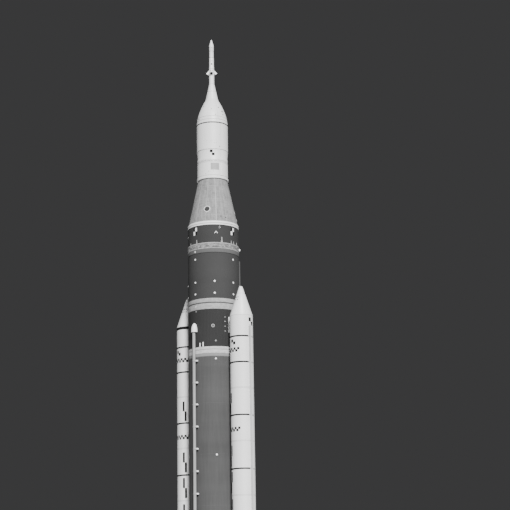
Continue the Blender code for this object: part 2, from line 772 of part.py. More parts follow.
def booster_nozzle(name, x):
    """The bearing ball and the nozzle with the collar that meets the heat curtain."""
    centre = (x, 0.0)
    ball(name + "_bearing", BEARING_RADIUS, centre, NOZZLE_PIVOT_HEIGHT, "bare_metal")
    length = NOZZLE_PIVOT_HEIGHT - NOZZLE_THROAT_DEPTH
    steps = range(NOZZLE_STATIONS + 1)
    depths = [NOZZLE_THROAT_DEPTH + length * step / NOZZLE_STATIONS for step in steps]
    inside = [(nozzle_radius(depth), NOZZLE_PIVOT_HEIGHT - depth) for depth in depths]
    inner_root, outer_root = COLLAR_ROOT_ANGLES
    collar = [
        *arc(COLLAR_RADIUS - COLLAR_WALL, NOZZLE_PIVOT_HEIGHT, inner_root, COLLAR_EDGE_ANGLE, 2),
        *arc(COLLAR_RADIUS, NOZZLE_PIVOT_HEIGHT, COLLAR_EDGE_ANGLE, outer_root, 2),
    ]
    skin_top = NOZZLE_PIVOT_HEIGHT - NOZZLE_SKIN_DEPTH
    outline = [
        (0.0, NOZZLE_PIVOT_HEIGHT - BEARING_RADIUS - SEAM),
        (BEARING_SEAT_RADIUS, NOZZLE_PIVOT_HEIGHT - BEARING_RADIUS - SEAM),
        *[(NOZZLE_BODY_RADIUS, NOZZLE_PIVOT_HEIGHT - depth) for depth in NOZZLE_BODY_DEPTHS],
        *collar,
        *[(radius + NOZZLE_WALL, height) for radius, height in inside if height < skin_top],
        *reversed(inside),
        (0.0, NOZZLE_PIVOT_HEIGHT - NOZZLE_THROAT_DEPTH),
    ]
    turned(name + "_nozzle", outline, "nozzle_black", BOOSTER_SIDES, centre, NOZZLE_PIVOT_HEIGHT)


def skirt_radius(height):
    """Outer radius of a booster's flared skirt at a height."""
    fall = (AFT_SKIRT_TOP - height) / (AFT_SKIRT_TOP - SKIRT_RIM_HEIGHT)
    return SKIRT_TOP_RADIUS + (SKIRT_BASE_RADIUS - SKIRT_TOP_RADIUS) * fall


def aft_skirt(name, x):
    """The flared skirt with its heat curtain and the feet that the vehicle stands on."""
    curtain_low = CURTAIN_HEIGHT - CURTAIN_WALL / 2
    curtain_high = CURTAIN_HEIGHT + CURTAIN_WALL / 2
    rings = []
    for height in SKIRT_RING_HEIGHTS:
        high = height + SKIRT_RING_HALF
        low = height - SKIRT_RING_HALF
        proud = skirt_radius(height) + SKIRT_RING_PROUD
        rings += [(skirt_radius(high), high), (proud, high), (proud, low), (skirt_radius(low), low)]
    rim_top = SKIRT_RIM_HEIGHT + SKIRT_RIM_TALL
    outline = [
        (SKIRT_TOP_RADIUS, AFT_SKIRT_TOP - SEAM),
        *rings,
        (skirt_radius(rim_top), rim_top),
        (SKIRT_BASE_RADIUS, SKIRT_RIM_HEIGHT),
        (SKIRT_BASE_RADIUS - SKIRT_WALL, SKIRT_RIM_HEIGHT),
        (skirt_radius(curtain_low) - SKIRT_WALL, curtain_low),
        (CURTAIN_HOLE_RADIUS, curtain_low),
        (CURTAIN_HOLE_RADIUS, curtain_high),
        (skirt_radius(curtain_high) - SKIRT_WALL, curtain_high),
        (SKIRT_TOP_RADIUS - SKIRT_WALL, AFT_SKIRT_TOP - SEAM),
    ]
    skirt = turned(name + "_aft_skirt", outline, "white_paint", BOOSTER_SIDES, (x, 0.0), loop=True)
    for angle in FOOT_ANGLES:
        foot_x, foot_y = around(angle, FOOT_RADIUS)
        size = (FOOT_SIZE, FOOT_SIZE, FOOT_TALL)
        middle = FEET_HEIGHT + FOOT_TALL / 2
        foot = block(f"{name}_foot_{angle:.0f}", size, None, upright(x + foot_x, foot_y, middle, angle))
        combine(skirt, foot, "UNION")


def attach_ring(name, side):
    """The ring about the booster with the struts that reach to the core."""
    x = side * BOOSTER_OFFSET
    low = ATTACH_HEIGHT - ATTACH_RING_TALL / 2
    high = ATTACH_HEIGHT + ATTACH_RING_TALL / 2
    inner = BOOSTER_RADIUS + SEAM
    outline = [(ATTACH_RING_RADIUS, high), (ATTACH_RING_RADIUS, low), (inner, low), (inner, high)]
    ring = turned(name + "_attach_ring", outline, "bare_metal", BOOSTER_SIDES, (x, 0.0), loop=True)
    # Struts: label, side in Y, height on the ring and on the core
    struts = (
        ("front", -1.0, ATTACH_HEIGHT, ATTACH_HEIGHT),
        ("rear", 1.0, ATTACH_HEIGHT + 0.02, ATTACH_HEIGHT + 0.02),
        ("diagonal", 1.0, ATTACH_HEIGHT - 0.04, ATTACH_HEIGHT - DIAGONAL_DROP),
    )
    ring_across, ring_along = around(STRUT_RING_ANGLE, STRUT_RING_REACH)
    core_across, core_along = around(STRUT_CORE_ANGLE, STRUT_CORE_REACH)
    for label, way, ring_height, core_height in struts:
        ring_end = place(x - side * ring_across, way * ring_along, ring_height)
        core_end = place(side * core_across, way * core_along, core_height)
        strut = rod(f"{name}_{label}_strut", core_end, ring_end, STRUT_RADIUS, None, sides=10)
        combine(ring, strut, "UNION")
    combine(ring, bpy.data.objects["core_cut"], "DIFFERENCE")
    case = [(inner, high + ATTACH_RING_TALL), (inner, low - ATTACH_RING_TALL)]
    case_cut = turned(name + "_case_cut", solid_outline(case), None, BOOSTER_SIDES, (x, 0.0))
    combine(ring, case_cut, "DIFFERENCE")
    notch_width = RACEWAY_WIDTH + 2 * RACEWAY_NOTCH_ROOM
    notch = block(
        name + "_raceway_notch",
        (1.0, notch_width, 1.0),
        None,
        upright(x + side * (BOOSTER_RADIUS + 0.4), 0.0, ATTACH_HEIGHT),
    )
    combine(ring, notch, "DIFFERENCE")


def booster_stack(name, side):
    """The nose, the forward skirt with its thrust fitting, and the motor's segments."""
    x = side * BOOSTER_OFFSET
    centre = (x, 0.0)
    tip = arc(BOOSTER_TIP_RADIUS, BOOSTER_TIP - BOOSTER_TIP_RADIUS, 180.0, 90.0 + NOSE_HALF_ANGLE, 3)
    slope = math.tan(math.radians(NOSE_HALF_ANGLE))
    cone_base = tip[-1][1] - (BOOSTER_RADIUS - tip[-1][0]) / slope
    nose = [*tip, (BOOSTER_RADIUS, cone_base), (BOOSTER_RADIUS, BOOSTER_NOSE_BASE + SEAM)]
    nose.append((0.0, BOOSTER_NOSE_BASE + SEAM))
    turned(name + "_nose", nose, "white_paint", BOOSTER_SIDES, centre)

    forward_skirt = stacked(
        name + "_forward_skirt",
        [(BOOSTER_RADIUS, BOOSTER_NOSE_BASE), (BOOSTER_RADIUS, SEGMENT_TOPS[0])],
        "white_paint",
        BOOSTER_SIDES,
        centre,
    )
    reach = BOOSTER_OFFSET - BOOSTER_RADIUS - CORE_RADIUS
    fitting = block(
        name + "_thrust_fitting",
        (reach + FITTING_OVERLAP, FORWARD_FITTING_SIZE, FORWARD_FITTING_SIZE),
        None,
        upright(side * (CORE_RADIUS + reach / 2), 0.0, FORWARD_FITTING_HEIGHT),
    )
    combine(forward_skirt, fitting, "UNION")
    combine(forward_skirt, bpy.data.objects["core_cut"], "DIFFERENCE")

    bottoms = (*SEGMENT_TOPS[1:], AFT_SKIRT_TOP)
    for number, (top, bottom) in enumerate(zip(SEGMENT_TOPS, bottoms), start=1):
        outline = [
            (JOINT_RING_RADIUS, top),
            (JOINT_RING_RADIUS, top - JOINT_RING_HEIGHT),
            (BOOSTER_RADIUS, top - JOINT_RING_HEIGHT),
            (BOOSTER_RADIUS, bottom + SEAM),
        ]
        if bottom == AFT_SKIRT_TOP:
            seat = NOZZLE_PIVOT_HEIGHT + BEARING_RADIUS + SEAM
            outline[-1] = (BOOSTER_RADIUS, max(bottom, seat))
            outline.append((BEARING_SEAT_RADIUS, max(bottom, seat)))
        turned(f"{name}_segment_{number}", solid_outline(outline), "white_paint", BOOSTER_SIDES, centre)

    raceway_x = x + side * (JOINT_RING_RADIUS + SEAM + RACEWAY_DEPTH / 2)
    block(
        name + "_raceway",
        (RACEWAY_DEPTH, RACEWAY_WIDTH, RACEWAY_TOP - RACEWAY_BOTTOM),
        "cork",
        upright(raceway_x, 0.0, (RACEWAY_TOP + RACEWAY_BOTTOM) / 2),
    )


def settle(obj, graph):
    """Makes the evaluated shape the object's own mesh, smooth but sharp at its corners."""
    mesh = bpy.data.meshes.new_from_object(obj.evaluated_get(graph))
    mesh.shade_smooth()
    mesh.set_sharp_from_angle(angle=math.radians(35.0))
    return mesh


def build():
    """Builds every part, then keeps each part's finished shape as its own mesh."""
    clear_scene()
    parts = new_collection("space_rocket")
    new_collection("cutters", helper=True)
    escape_tower()
    spacecraft()
    core_stage()
    outside_lines()
    for name, x, y in ENGINES:
        main_engine(name, x, y)
    for name, side in BOOSTERS:
        booster_stack(name, side)
        attach_ring(name, side)
        aft_skirt(name, side * BOOSTER_OFFSET)
        booster_nozzle(name, side * BOOSTER_OFFSET)
    bpy.context.view_layer.update()
    graph = bpy.context.evaluated_depsgraph_get()
    settled = {obj: settle(obj, graph) for obj in parts.objects}
    for obj, mesh in settled.items():
        obj.modifiers.clear()
        obj.data = mesh


build()
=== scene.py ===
"""Looks of the scale model space rocket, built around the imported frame.

Lengths are written in metres of the full-size vehicle, as in the part's source, and the shaper turns
them into the model's metres. Heights count from the exit plane of the booster nozzles. Angles are in
degrees about an upright axis, from the model's X towards its Y.
"""

import logging
import math
from dataclasses import dataclass, field
from enum import Enum
from typing import Callable, Optional, Sequence

import bmesh
import bpy
from mathutils import Matrix, Vector

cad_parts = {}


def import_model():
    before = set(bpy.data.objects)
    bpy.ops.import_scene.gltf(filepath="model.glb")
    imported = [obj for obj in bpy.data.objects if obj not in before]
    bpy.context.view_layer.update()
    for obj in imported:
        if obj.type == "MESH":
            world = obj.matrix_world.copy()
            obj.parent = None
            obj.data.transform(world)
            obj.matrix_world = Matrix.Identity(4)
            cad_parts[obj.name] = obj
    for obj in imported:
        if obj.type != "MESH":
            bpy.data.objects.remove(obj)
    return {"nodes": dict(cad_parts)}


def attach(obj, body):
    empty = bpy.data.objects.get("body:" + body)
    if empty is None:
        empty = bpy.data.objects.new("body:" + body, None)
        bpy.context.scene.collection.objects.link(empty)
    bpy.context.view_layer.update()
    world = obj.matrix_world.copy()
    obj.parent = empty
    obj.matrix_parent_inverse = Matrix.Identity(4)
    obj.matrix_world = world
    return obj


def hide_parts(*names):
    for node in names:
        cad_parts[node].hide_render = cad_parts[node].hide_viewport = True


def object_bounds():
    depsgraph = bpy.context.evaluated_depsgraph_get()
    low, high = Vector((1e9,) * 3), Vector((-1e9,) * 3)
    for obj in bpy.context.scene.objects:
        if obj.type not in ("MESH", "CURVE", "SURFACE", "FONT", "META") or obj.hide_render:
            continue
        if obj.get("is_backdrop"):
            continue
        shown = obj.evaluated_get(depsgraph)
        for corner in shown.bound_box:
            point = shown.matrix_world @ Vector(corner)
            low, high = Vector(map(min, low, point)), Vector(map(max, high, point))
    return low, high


LOG = logging.getLogger("space_rocket")

SCALE = 0.1
FEET_HEIGHT = 1.5

Point = tuple[float, float]
Profile = list[Point]
Numbers = tuple[float, ...]
Spots = Sequence[Sequence[float]]
RadiusAt = Callable[[float], float]


class Body(Enum):
    """Fixed rigid bodies of the frame that pieces ride on."""

    VEHICLE = "vehicle"
    HATCH = "crew_hatch"


class Side(Enum):
    """The two boosters, by the sign of their X."""

    LEFT = -1.0
    RIGHT = 1.0


def level(height: float) -> float:
    """Returns the model's Z of a full-size height."""
    return (height - FEET_HEIGHT) * SCALE


def polar(angle: float, radius: float) -> Point:
    """Returns X and Y at an angle in degrees and a radius."""
    return radius * math.cos(math.radians(angle)), radius * math.sin(math.radians(angle))


def arc(radius: float, height: float, first: float, last: float, count: int) -> Profile:
    """Computes points of a round profile about a centre on the axis.

    Args:
        radius: Radius of the arc.
        height: Height of its centre.
        first: First angle, in degrees from straight down.
        last: Last angle.
        count: Number of steps between them.

    Returns:
        The points as (radius, height) pairs.
    """
    angles = [math.radians(first + (last - first) * step / count) for step in range(count + 1)]
    return [(radius * math.sin(angle), height - radius * math.cos(angle)) for angle in angles]


class Recipe:
    """A material's node tree under construction."""

    def __init__(self, name: str) -> None:
        """Starts a material whose patterns lie in the model's own space.

        Args:
            name: Name of the material.
        """
        self.material = bpy.data.materials.new(name)
        self.material.use_nodes = True
        self.tree = self.material.node_tree
        self.shader = self.tree.nodes["Principled BSDF"]
        self.place = self.tree.nodes.new("ShaderNodeTexCoord").outputs["Object"]

    def feed(self, socket: bpy.types.NodeSocket, value: object) -> None:
        """Links or sets one input.

        Args:
            socket: The input.
            value: A pattern's socket or a plain value.
        """
        if isinstance(value, bpy.types.NodeSocket):
            self.tree.links.new(value, socket)
        else:
            socket.default_value = value

    def math(self, operation: str, first: object, second: object = 0.0) -> bpy.types.NodeSocket:
        """Adds a Math node.

        Args:
            operation: The node's operation.
            first: First value or pattern.
            second: Second value or pattern.

        Returns:
            The node's output.
        """
        node = self.tree.nodes.new("ShaderNodeMath")
        node.operation = operation
        self.feed(node.inputs[0], first)
        self.feed(node.inputs[1], second)
        return node.outputs[0]

    def span(self, source: object, low: float, high: float, start: float = 0.3,
             end: float = 0.7) -> bpy.types.NodeSocket:
        """Maps a pattern onto a range of values.

        Args:
            source: The pattern's socket.
            low: Result at start.
            high: Result at end.
            start: Pattern value that gives low.
            end: Pattern value that gives high.

        Returns:
            The mapped socket.
        """
        node = self.tree.nodes.new("ShaderNodeMapRange")
        for index, value in enumerate((source, start, end, low, high)):
            self.feed(node.inputs[index], value)
        return node.outputs[0]

    def noise(self, scale: float, detail: float = 3.0,
              stretch: Sequence[float] = (1.0, 1.0, 1.0)) -> bpy.types.NodeSocket:
        """Adds a noise pattern.

        Args:
            scale: Frequency of the noise.
            detail: Number of finer layers.
            stretch: Factor on the frequency along each axis.

        Returns:
            The pattern's socket.
        """
        mapping = self.tree.nodes.new("ShaderNodeMapping")
        mapping.inputs["Scale"].default_value = stretch
        self.feed(mapping.inputs["Vector"], self.place)
        node = self.tree.nodes.new("ShaderNodeTexNoise")
        node.inputs["Scale"].default_value = scale
        node.inputs["Detail"].default_value = detail
        self.feed(node.inputs["Vector"], mapping.outputs[0])
        return node.outputs[0]

    def axis(self, name: str) -> bpy.types.NodeSocket:
        """Reads one coordinate of the surface point.

        Args:
            name: X, Y or Z.

        Returns:
            The coordinate's socket.
        """
        node = self.tree.nodes.new("ShaderNodeSeparateXYZ")
        self.feed(node.inputs[0], self.place)
        return node.outputs[name]

    def angle(self, centre: Point) -> bpy.types.NodeSocket:
        """Measures the angle about an upright line, in radians.

        Args:
            centre: The line, as X and Y.

        Returns:
            The angle's socket.
        """
        across = self.math("SUBTRACT", self.axis("X"), centre[0] * SCALE)
        along = self.math("SUBTRACT", self.axis("Y"), centre[1] * SCALE)
        return self.math("ARCTAN2", along, across)

    def wave(self, source: object, count: float) -> bpy.types.NodeSocket:
        """Returns a sine of the source, from 0 to 1."""
        swing = self.math("SINE", self.math("MULTIPLY", source, count))
        return self.math("ADD", self.math("MULTIPLY", swing, 0.5), 0.5)

    def total(self, *parts: object) -> object:
        """Sums several values.

        Args:
            *parts: Values or patterns.

        Returns:
            The sum.
        """
        result = parts[0]
        for part in parts[1:]:
            result = self.math("ADD", result, part)
        return result

    def done(self, grey: object, roughness: object, metallic: float, bump: object, depth: float,
             specular: float = 0.5) -> bpy.types.Material:
        """Dresses the shader and returns the material.

        Args:
            grey: Grey of the surface, as a value or a pattern.
            roughness: Roughness, as a value or a pattern.
            metallic: Metallic value.
            bump: Height pattern.
            depth: Height of the pattern in metres.
            specular: Specular level.

        Returns:
            The finished material.
        """
        self.feed(self.shader.inputs["Base Color"], grey)
        self.feed(self.shader.inputs["Roughness"], roughness)
        self.shader.inputs["Metallic"].default_value = metallic
        self.shader.inputs["Specular IOR Level"].default_value = specular
        node = self.tree.nodes.new("ShaderNodeBump")
        node.inputs["Strength"].default_value = 0.8
        node.inputs["Distance"].default_value = depth
        self.feed(node.inputs["Height"], bump)
        self.feed(self.shader.inputs["Normal"], node.outputs[0])
        return self.material


@dataclass(frozen=True)
class Finish:
    """A surface finish, made into a material once."""

    name: str
    slot: str
    grey: float

    def compose(self, recipe: Recipe) -> bpy.types.Material:
        """Builds the finish's pattern in the recipe."""
        raise NotImplementedError

    def material(self) -> bpy.types.Material:
        """Returns the finish's material."""
        return bpy.data.materials.get(self.name) or self.compose(Recipe(self.name))


@dataclass(frozen=True)
class Paint(Finish):
    """Brushed or sprayed paint on metal, with faint runs and soiling."""

    soil: float = 0.05
    roughness: float = 0.45
    specular: float = 0.5

    def compose(self, recipe: Recipe) -> bpy.types.Material:
        """Mixes broad soiling, upright runs and fine speckle.

        Args:
            recipe: The material's node tree.

        Returns:
            The finished material.
        """
        broad = recipe.noise(3.0, 5.0)
        runs = recipe.noise(26.0, 3.0, (1.0, 1.0, 0.04))
        speckle = recipe.noise(240.0, 2.0)
        grey = recipe.total(
            self.grey,
            recipe.span(broad, -self.soil * self.grey, 0.0),
            recipe.span(runs, -0.6 * self.soil * self.grey, 0.0),
            recipe.span(speckle, -0.02 * self.grey, 0.02 * self.grey),
        )
        rough = recipe.span(broad, self.roughness + 0.1, self.roughness - 0.05)
        relief = recipe.math("ADD", speckle, broad)
        return recipe.done(grey, rough, 0.0, relief, 0.0006, self.specular)


@dataclass(frozen=True)
class Foam(Finish):
    """Sprayed insulation with a lumpy skin, tonal bands and clouds."""

    clouds: float = 0.12
    bands: float = 0.1
    ribs: int = 0
    flecks: float = 0.0
    streaks: float = 0.0

    def compose(self, recipe: Recipe) -> bpy.types.Material:
        """Mixes clouds, level bands, grain and, where asked, upright ribs or pale flecks. The ribs' grooves
        are painted darker and their crests lighter, as painted shade and light.

        Args:
            recipe: The material's node tree.

        Returns:
            The finished material.
        """
        cloud = recipe.noise(1.6, 6.0)
        band = recipe.noise(2.4, 4.0, (0.03, 0.03, 1.0))
        grain = recipe.noise(70.0, 4.0)
        parts = [
            self.grey,
            recipe.span(cloud, -self.clouds * self.grey, self.clouds * self.grey),
            recipe.span(band, -self.bands * self.grey, self.bands * self.grey),
            recipe.span(grain, -0.06 * self.grey, 0.06 * self.grey),
        ]
        relief = recipe.math("ADD", grain, recipe.math("MULTIPLY", recipe.noise(14.0, 3.0), 1.5))
        if self.flecks:
            patch = recipe.noise(19.0, 2.0, (1.0, 1.0, 2.0))
            parts.append(recipe.span(patch, -self.flecks * self.grey, self.flecks * self.grey, 0.42, 0.58))
        if self.streaks:
            streak = recipe.noise(34.0, 4.0, (1.0, 1.0, 0.06))
            parts.append(recipe.span(streak, -self.streaks * self.grey, self.streaks * self.grey, 0.36,
                                     0.64))
        if self.ribs:
            rib = recipe.wave(recipe.angle((0.0, 0.0)), self.ribs)
            # Grooves between the ribs are painted darker and crests lighter: painted shade and light of the
            # ribs, on top of their bump.
            parts.append(recipe.span(rib, -0.07 * self.grey, 0.04 * self.grey, 0.0, 1.0))
            relief = recipe.math("ADD", relief, recipe.math("MULTIPLY", rib, 2.0))
        return recipe.done(recipe.total(*parts), recipe.span(grain, 0.82, 0.95), 0.0, relief, 0.0012, 0.25)


@dataclass(frozen=True)
class Metal(Finish):
    """Machined or rolled metal with a brushed grain and dull patches."""

    roughness: float = 0.35
    metallic: float = 0.9
    grain: Sequence[float] = (1.0, 1.0, 14.0)

    def compose(self, recipe: Recipe) -> bpy.types.Material:
        """Mixes the brushed grain with patches of tarnish.

        Args:
            recipe: The material's node tree.

        Returns:
            The finished material.
        """
        brushed = recipe.noise(40.0, 3.0, self.grain)
        tarnish = recipe.noise(9.0, 5.0)
        grey = recipe.total(
            self.grey,
            recipe.span(brushed, -0.12 * self.grey, 0.12 * self.grey),
            recipe.span(tarnish, -0.25 * self.grey, 0.05 * self.grey),
        )
        rough = recipe.span(tarnish, self.roughness + 0.18, self.roughness - 0.05)
        return recipe.done(grey, rough, self.metallic, brushed, 0.0003)


@dataclass(frozen=True)
class TubeWall(Finish):
    """A nozzle wall of fine upright tubes, darkened by heat towards one end."""

    centre: Point = (0.0, 0.0)
    tubes: int = 180
    cool_height: float = 0.5
    hot_height: float = 3.0

    def compose(self, recipe: Recipe) -> bpy.types.Material:
        """Mixes the tubes, their grooves painted darker as shade, with heat bands by height.

        Args:
            recipe: The material's node tree.

        Returns:
            The finished material.
        """
        tube = recipe.wave(recipe.angle(self.centre), self.tubes)
        heat = recipe.span(recipe.axis("Z"), 0.0, -0.35 * self.grey, level(self.cool_height),
                           level(self.hot_height))
        stain = recipe.noise(7.0, 5.0, (1.0, 1.0, 3.0))
        # The grooves between the tubes are painted darker and their crests lighter: painted shade and light
        # of the tubes.
        grey = recipe.total(
            self.grey, heat, recipe.span(tube, -0.15 * self.grey, 0.08 * self.grey, 0.0, 1.0),
            recipe.span(stain, -0.2 * self.grey, 0.1 * self.grey),
        )
        rough = recipe.span(stain, 0.5, 0.32)
        return recipe.done(grey, rough, 0.85, tube, 0.0008)


@dataclass(frozen=True)
class Wrapped(Finish):
    """Wound or layered composite with fine level lines."""

    lines: float = 900.0
    roughness: float = 0.6

    def compose(self, recipe: Recipe) -> bpy.types.Material:
        """Mixes level winding lines with scuffs.

        Args:
            recipe: The material's node tree.

        Returns:
            The finished material.
        """
        line = recipe.wave(recipe.axis("Z"), self.lines)
        scuff = recipe.noise(18.0, 5.0)
        grey = recipe.total(
            self.grey,
            recipe.span(line, -0.12 * self.grey, 0.12 * self.grey, 0.0, 1.0),
            recipe.span(scuff, -0.3 * self.grey, 0.3 * self.grey),
        )
        rough = recipe.span(scuff, self.roughness - 0.1, self.roughness + 0.15)
        return recipe.done(grey, rough, 0.0, recipe.math("ADD", line, scuff), 0.0006)


@dataclass(frozen=True)
class Blanket(Finish):
    """A quilted heat blanket of small stitched pads."""

    pads: float = 26.0

    def compose(self, recipe: Recipe) -> bpy.types.Material:
        """Builds pads with stitched valleys between them, the valleys painted darker as shade.

        Args:
            recipe: The material's node tree.

        Returns:
            The finished material.
        """
        pad = self.pads * math.tau
        across = recipe.wave(recipe.axis("X"), pad)
        along = recipe.wave(recipe.axis("Y"), pad)
        quilt = recipe.math("POWER", recipe.math("MULTIPLY", across, along), 0.35)
        wear = recipe.noise(12.0, 5.0)
        # The valleys between the pads are painted much darker: painted shade in the quilt's creases.
        grey = recipe.total(
            self.grey,
            recipe.span(quilt, -0.45 * self.grey, 0.05 * self.grey, 0.2, 0.8),
            recipe.span(wear, -0.2 * self.grey, 0.12 * self.grey),
        )
        return recipe.done(grey, recipe.span(wear, 0.75, 0.9), 0.0, quilt, 0.003)


class Finishes:
    """The vehicle's finishes, each under the place where it is used."""

    TOWER = Paint("tower_paint", "tower_white", 0.72, soil=0.05, roughness=0.4)
    FAIRING = Paint("fairing_paint", "spacecraft_white", 0.70, soil=0.07, roughness=0.42)
    UPPER = Paint("upper_stage_paint", "spacecraft_white", 0.72, soil=0.08, roughness=0.5)
    BOOSTER = Paint("booster_paint", "booster_white", 0.72, soil=0.06, roughness=0.42)
    SEAM = Paint("seam_filler", "spacecraft_white", 0.26, soil=0.12, roughness=0.6)
    FAINT = Paint("faint_line", "booster_white", 0.42, soil=0.1, roughness=0.6)
    PALE_SEAM = Paint("pale_seam", "adapter_grey", 0.3, soil=0.1, roughness=0.6)
    # Black for real markings, and also for painted shade and shadow: discs in the abort nozzles' mouths,
    # plates beside them, rings on the feed line fairings and pads under the feed line brackets.
    BLACK = Paint("black_marking_and_painted_shade", "nozzle_black", 0.008, soil=0.3, roughness=0.8, specular=0.15)
    WHITE_MARK = Paint("white_marking", "booster_white", 0.78, soil=0.05, roughness=0.5)
    PLATE = Paint("blank_plate", "spacecraft_white", 0.3, soil=0.12, roughness=0.5)
    ADAPTER = Foam("adapter_foam", "adapter_grey", 0.2, clouds=0.12, bands=0.05, flecks=0.08, streaks=0.14)
    SKIRT = Foam("skirt_foam", "core_foam", 0.032, clouds=0.1, bands=0.06)
    OXYGEN = Foam("oxygen_tank_foam", "core_foam", 0.035, clouds=0.08, bands=0.1)
    INTERTANK = Foam("intertank_foam_coat", "intertank_foam", 0.022, clouds=0.1, bands=0.05, ribs=108)
    HYDROGEN = Foam("hydrogen_tank_foam", "core_foam", 0.056, clouds=0.08, bands=0.12, streaks=0.05)
    ENGINE_SECTION = Foam("engine_section_foam", "core_foam", 0.07, clouds=0.14, bands=0.08)
    MOTTLED = Foam("mottled_closeout", "core_foam", 0.17, clouds=0.15, bands=0.1, flecks=0.35)
    CLOSEOUT = Foam("ring_closeout", "core_foam", 0.28, clouds=0.1, bands=0.05, flecks=0.1)
    WHITE_RING = Foam("bright_ring_closeout", "core_foam", 0.42, clouds=0.08, bands=0.06, flecks=0.08)
    SMOOTH_RING = Foam("smooth_ring_closeout", "core_foam", 0.19, clouds=0.08, bands=0.06)
    LIP = Foam("ring_lip", "core_foam", 0.085, clouds=0.12, bands=0.05)
    COVER = Paint("line_cover_paint", "line_covering", 0.26, soil=0.15, roughness=0.6)
    TUNNEL = Paint("tunnel_cover_paint", "line_covering", 0.035, soil=0.18, roughness=0.65)
    CORK = Paint("raceway_cork", "line_covering", 0.5, soil=0.2, roughness=0.75)
    STRUT = Paint("strut_paint", "strut_metal", 0.46, soil=0.2, roughness=0.5)
    BRACKET = Metal("bracket_metal", "strut_metal", 0.55, roughness=0.4)
    MACHINED = Metal("machined_metal", "engine_metal", 0.5, roughness=0.32)
    PIPE = Metal("engine_pipe_metal", "engine_metal", 0.42, roughness=0.38, grain=(6.0, 6.0, 1.0))
    ABLATIVE = Wrapped("nozzle_ablative", "nozzle_black", 0.045, lines=1400.0, roughness=0.62)
    NOZZLE_CORK = Wrapped("nozzle_outer_wrap", "nozzle_black", 0.09, lines=420.0, roughness=0.7)
    SHIELD = Blanket("base_blanket", "base_shield", 0.3, pads=9.0)
    CURTAIN = Blanket("curtain_blanket", "base_shield", 0.34, pads=16.0)


def bell_wall(centre: Point, name: str) -> TubeWall:
    """Returns the tube wall finish of one engine."""
    return TubeWall(f"{name}_tube_wall", "bell_metal", 0.4, centre=centre)


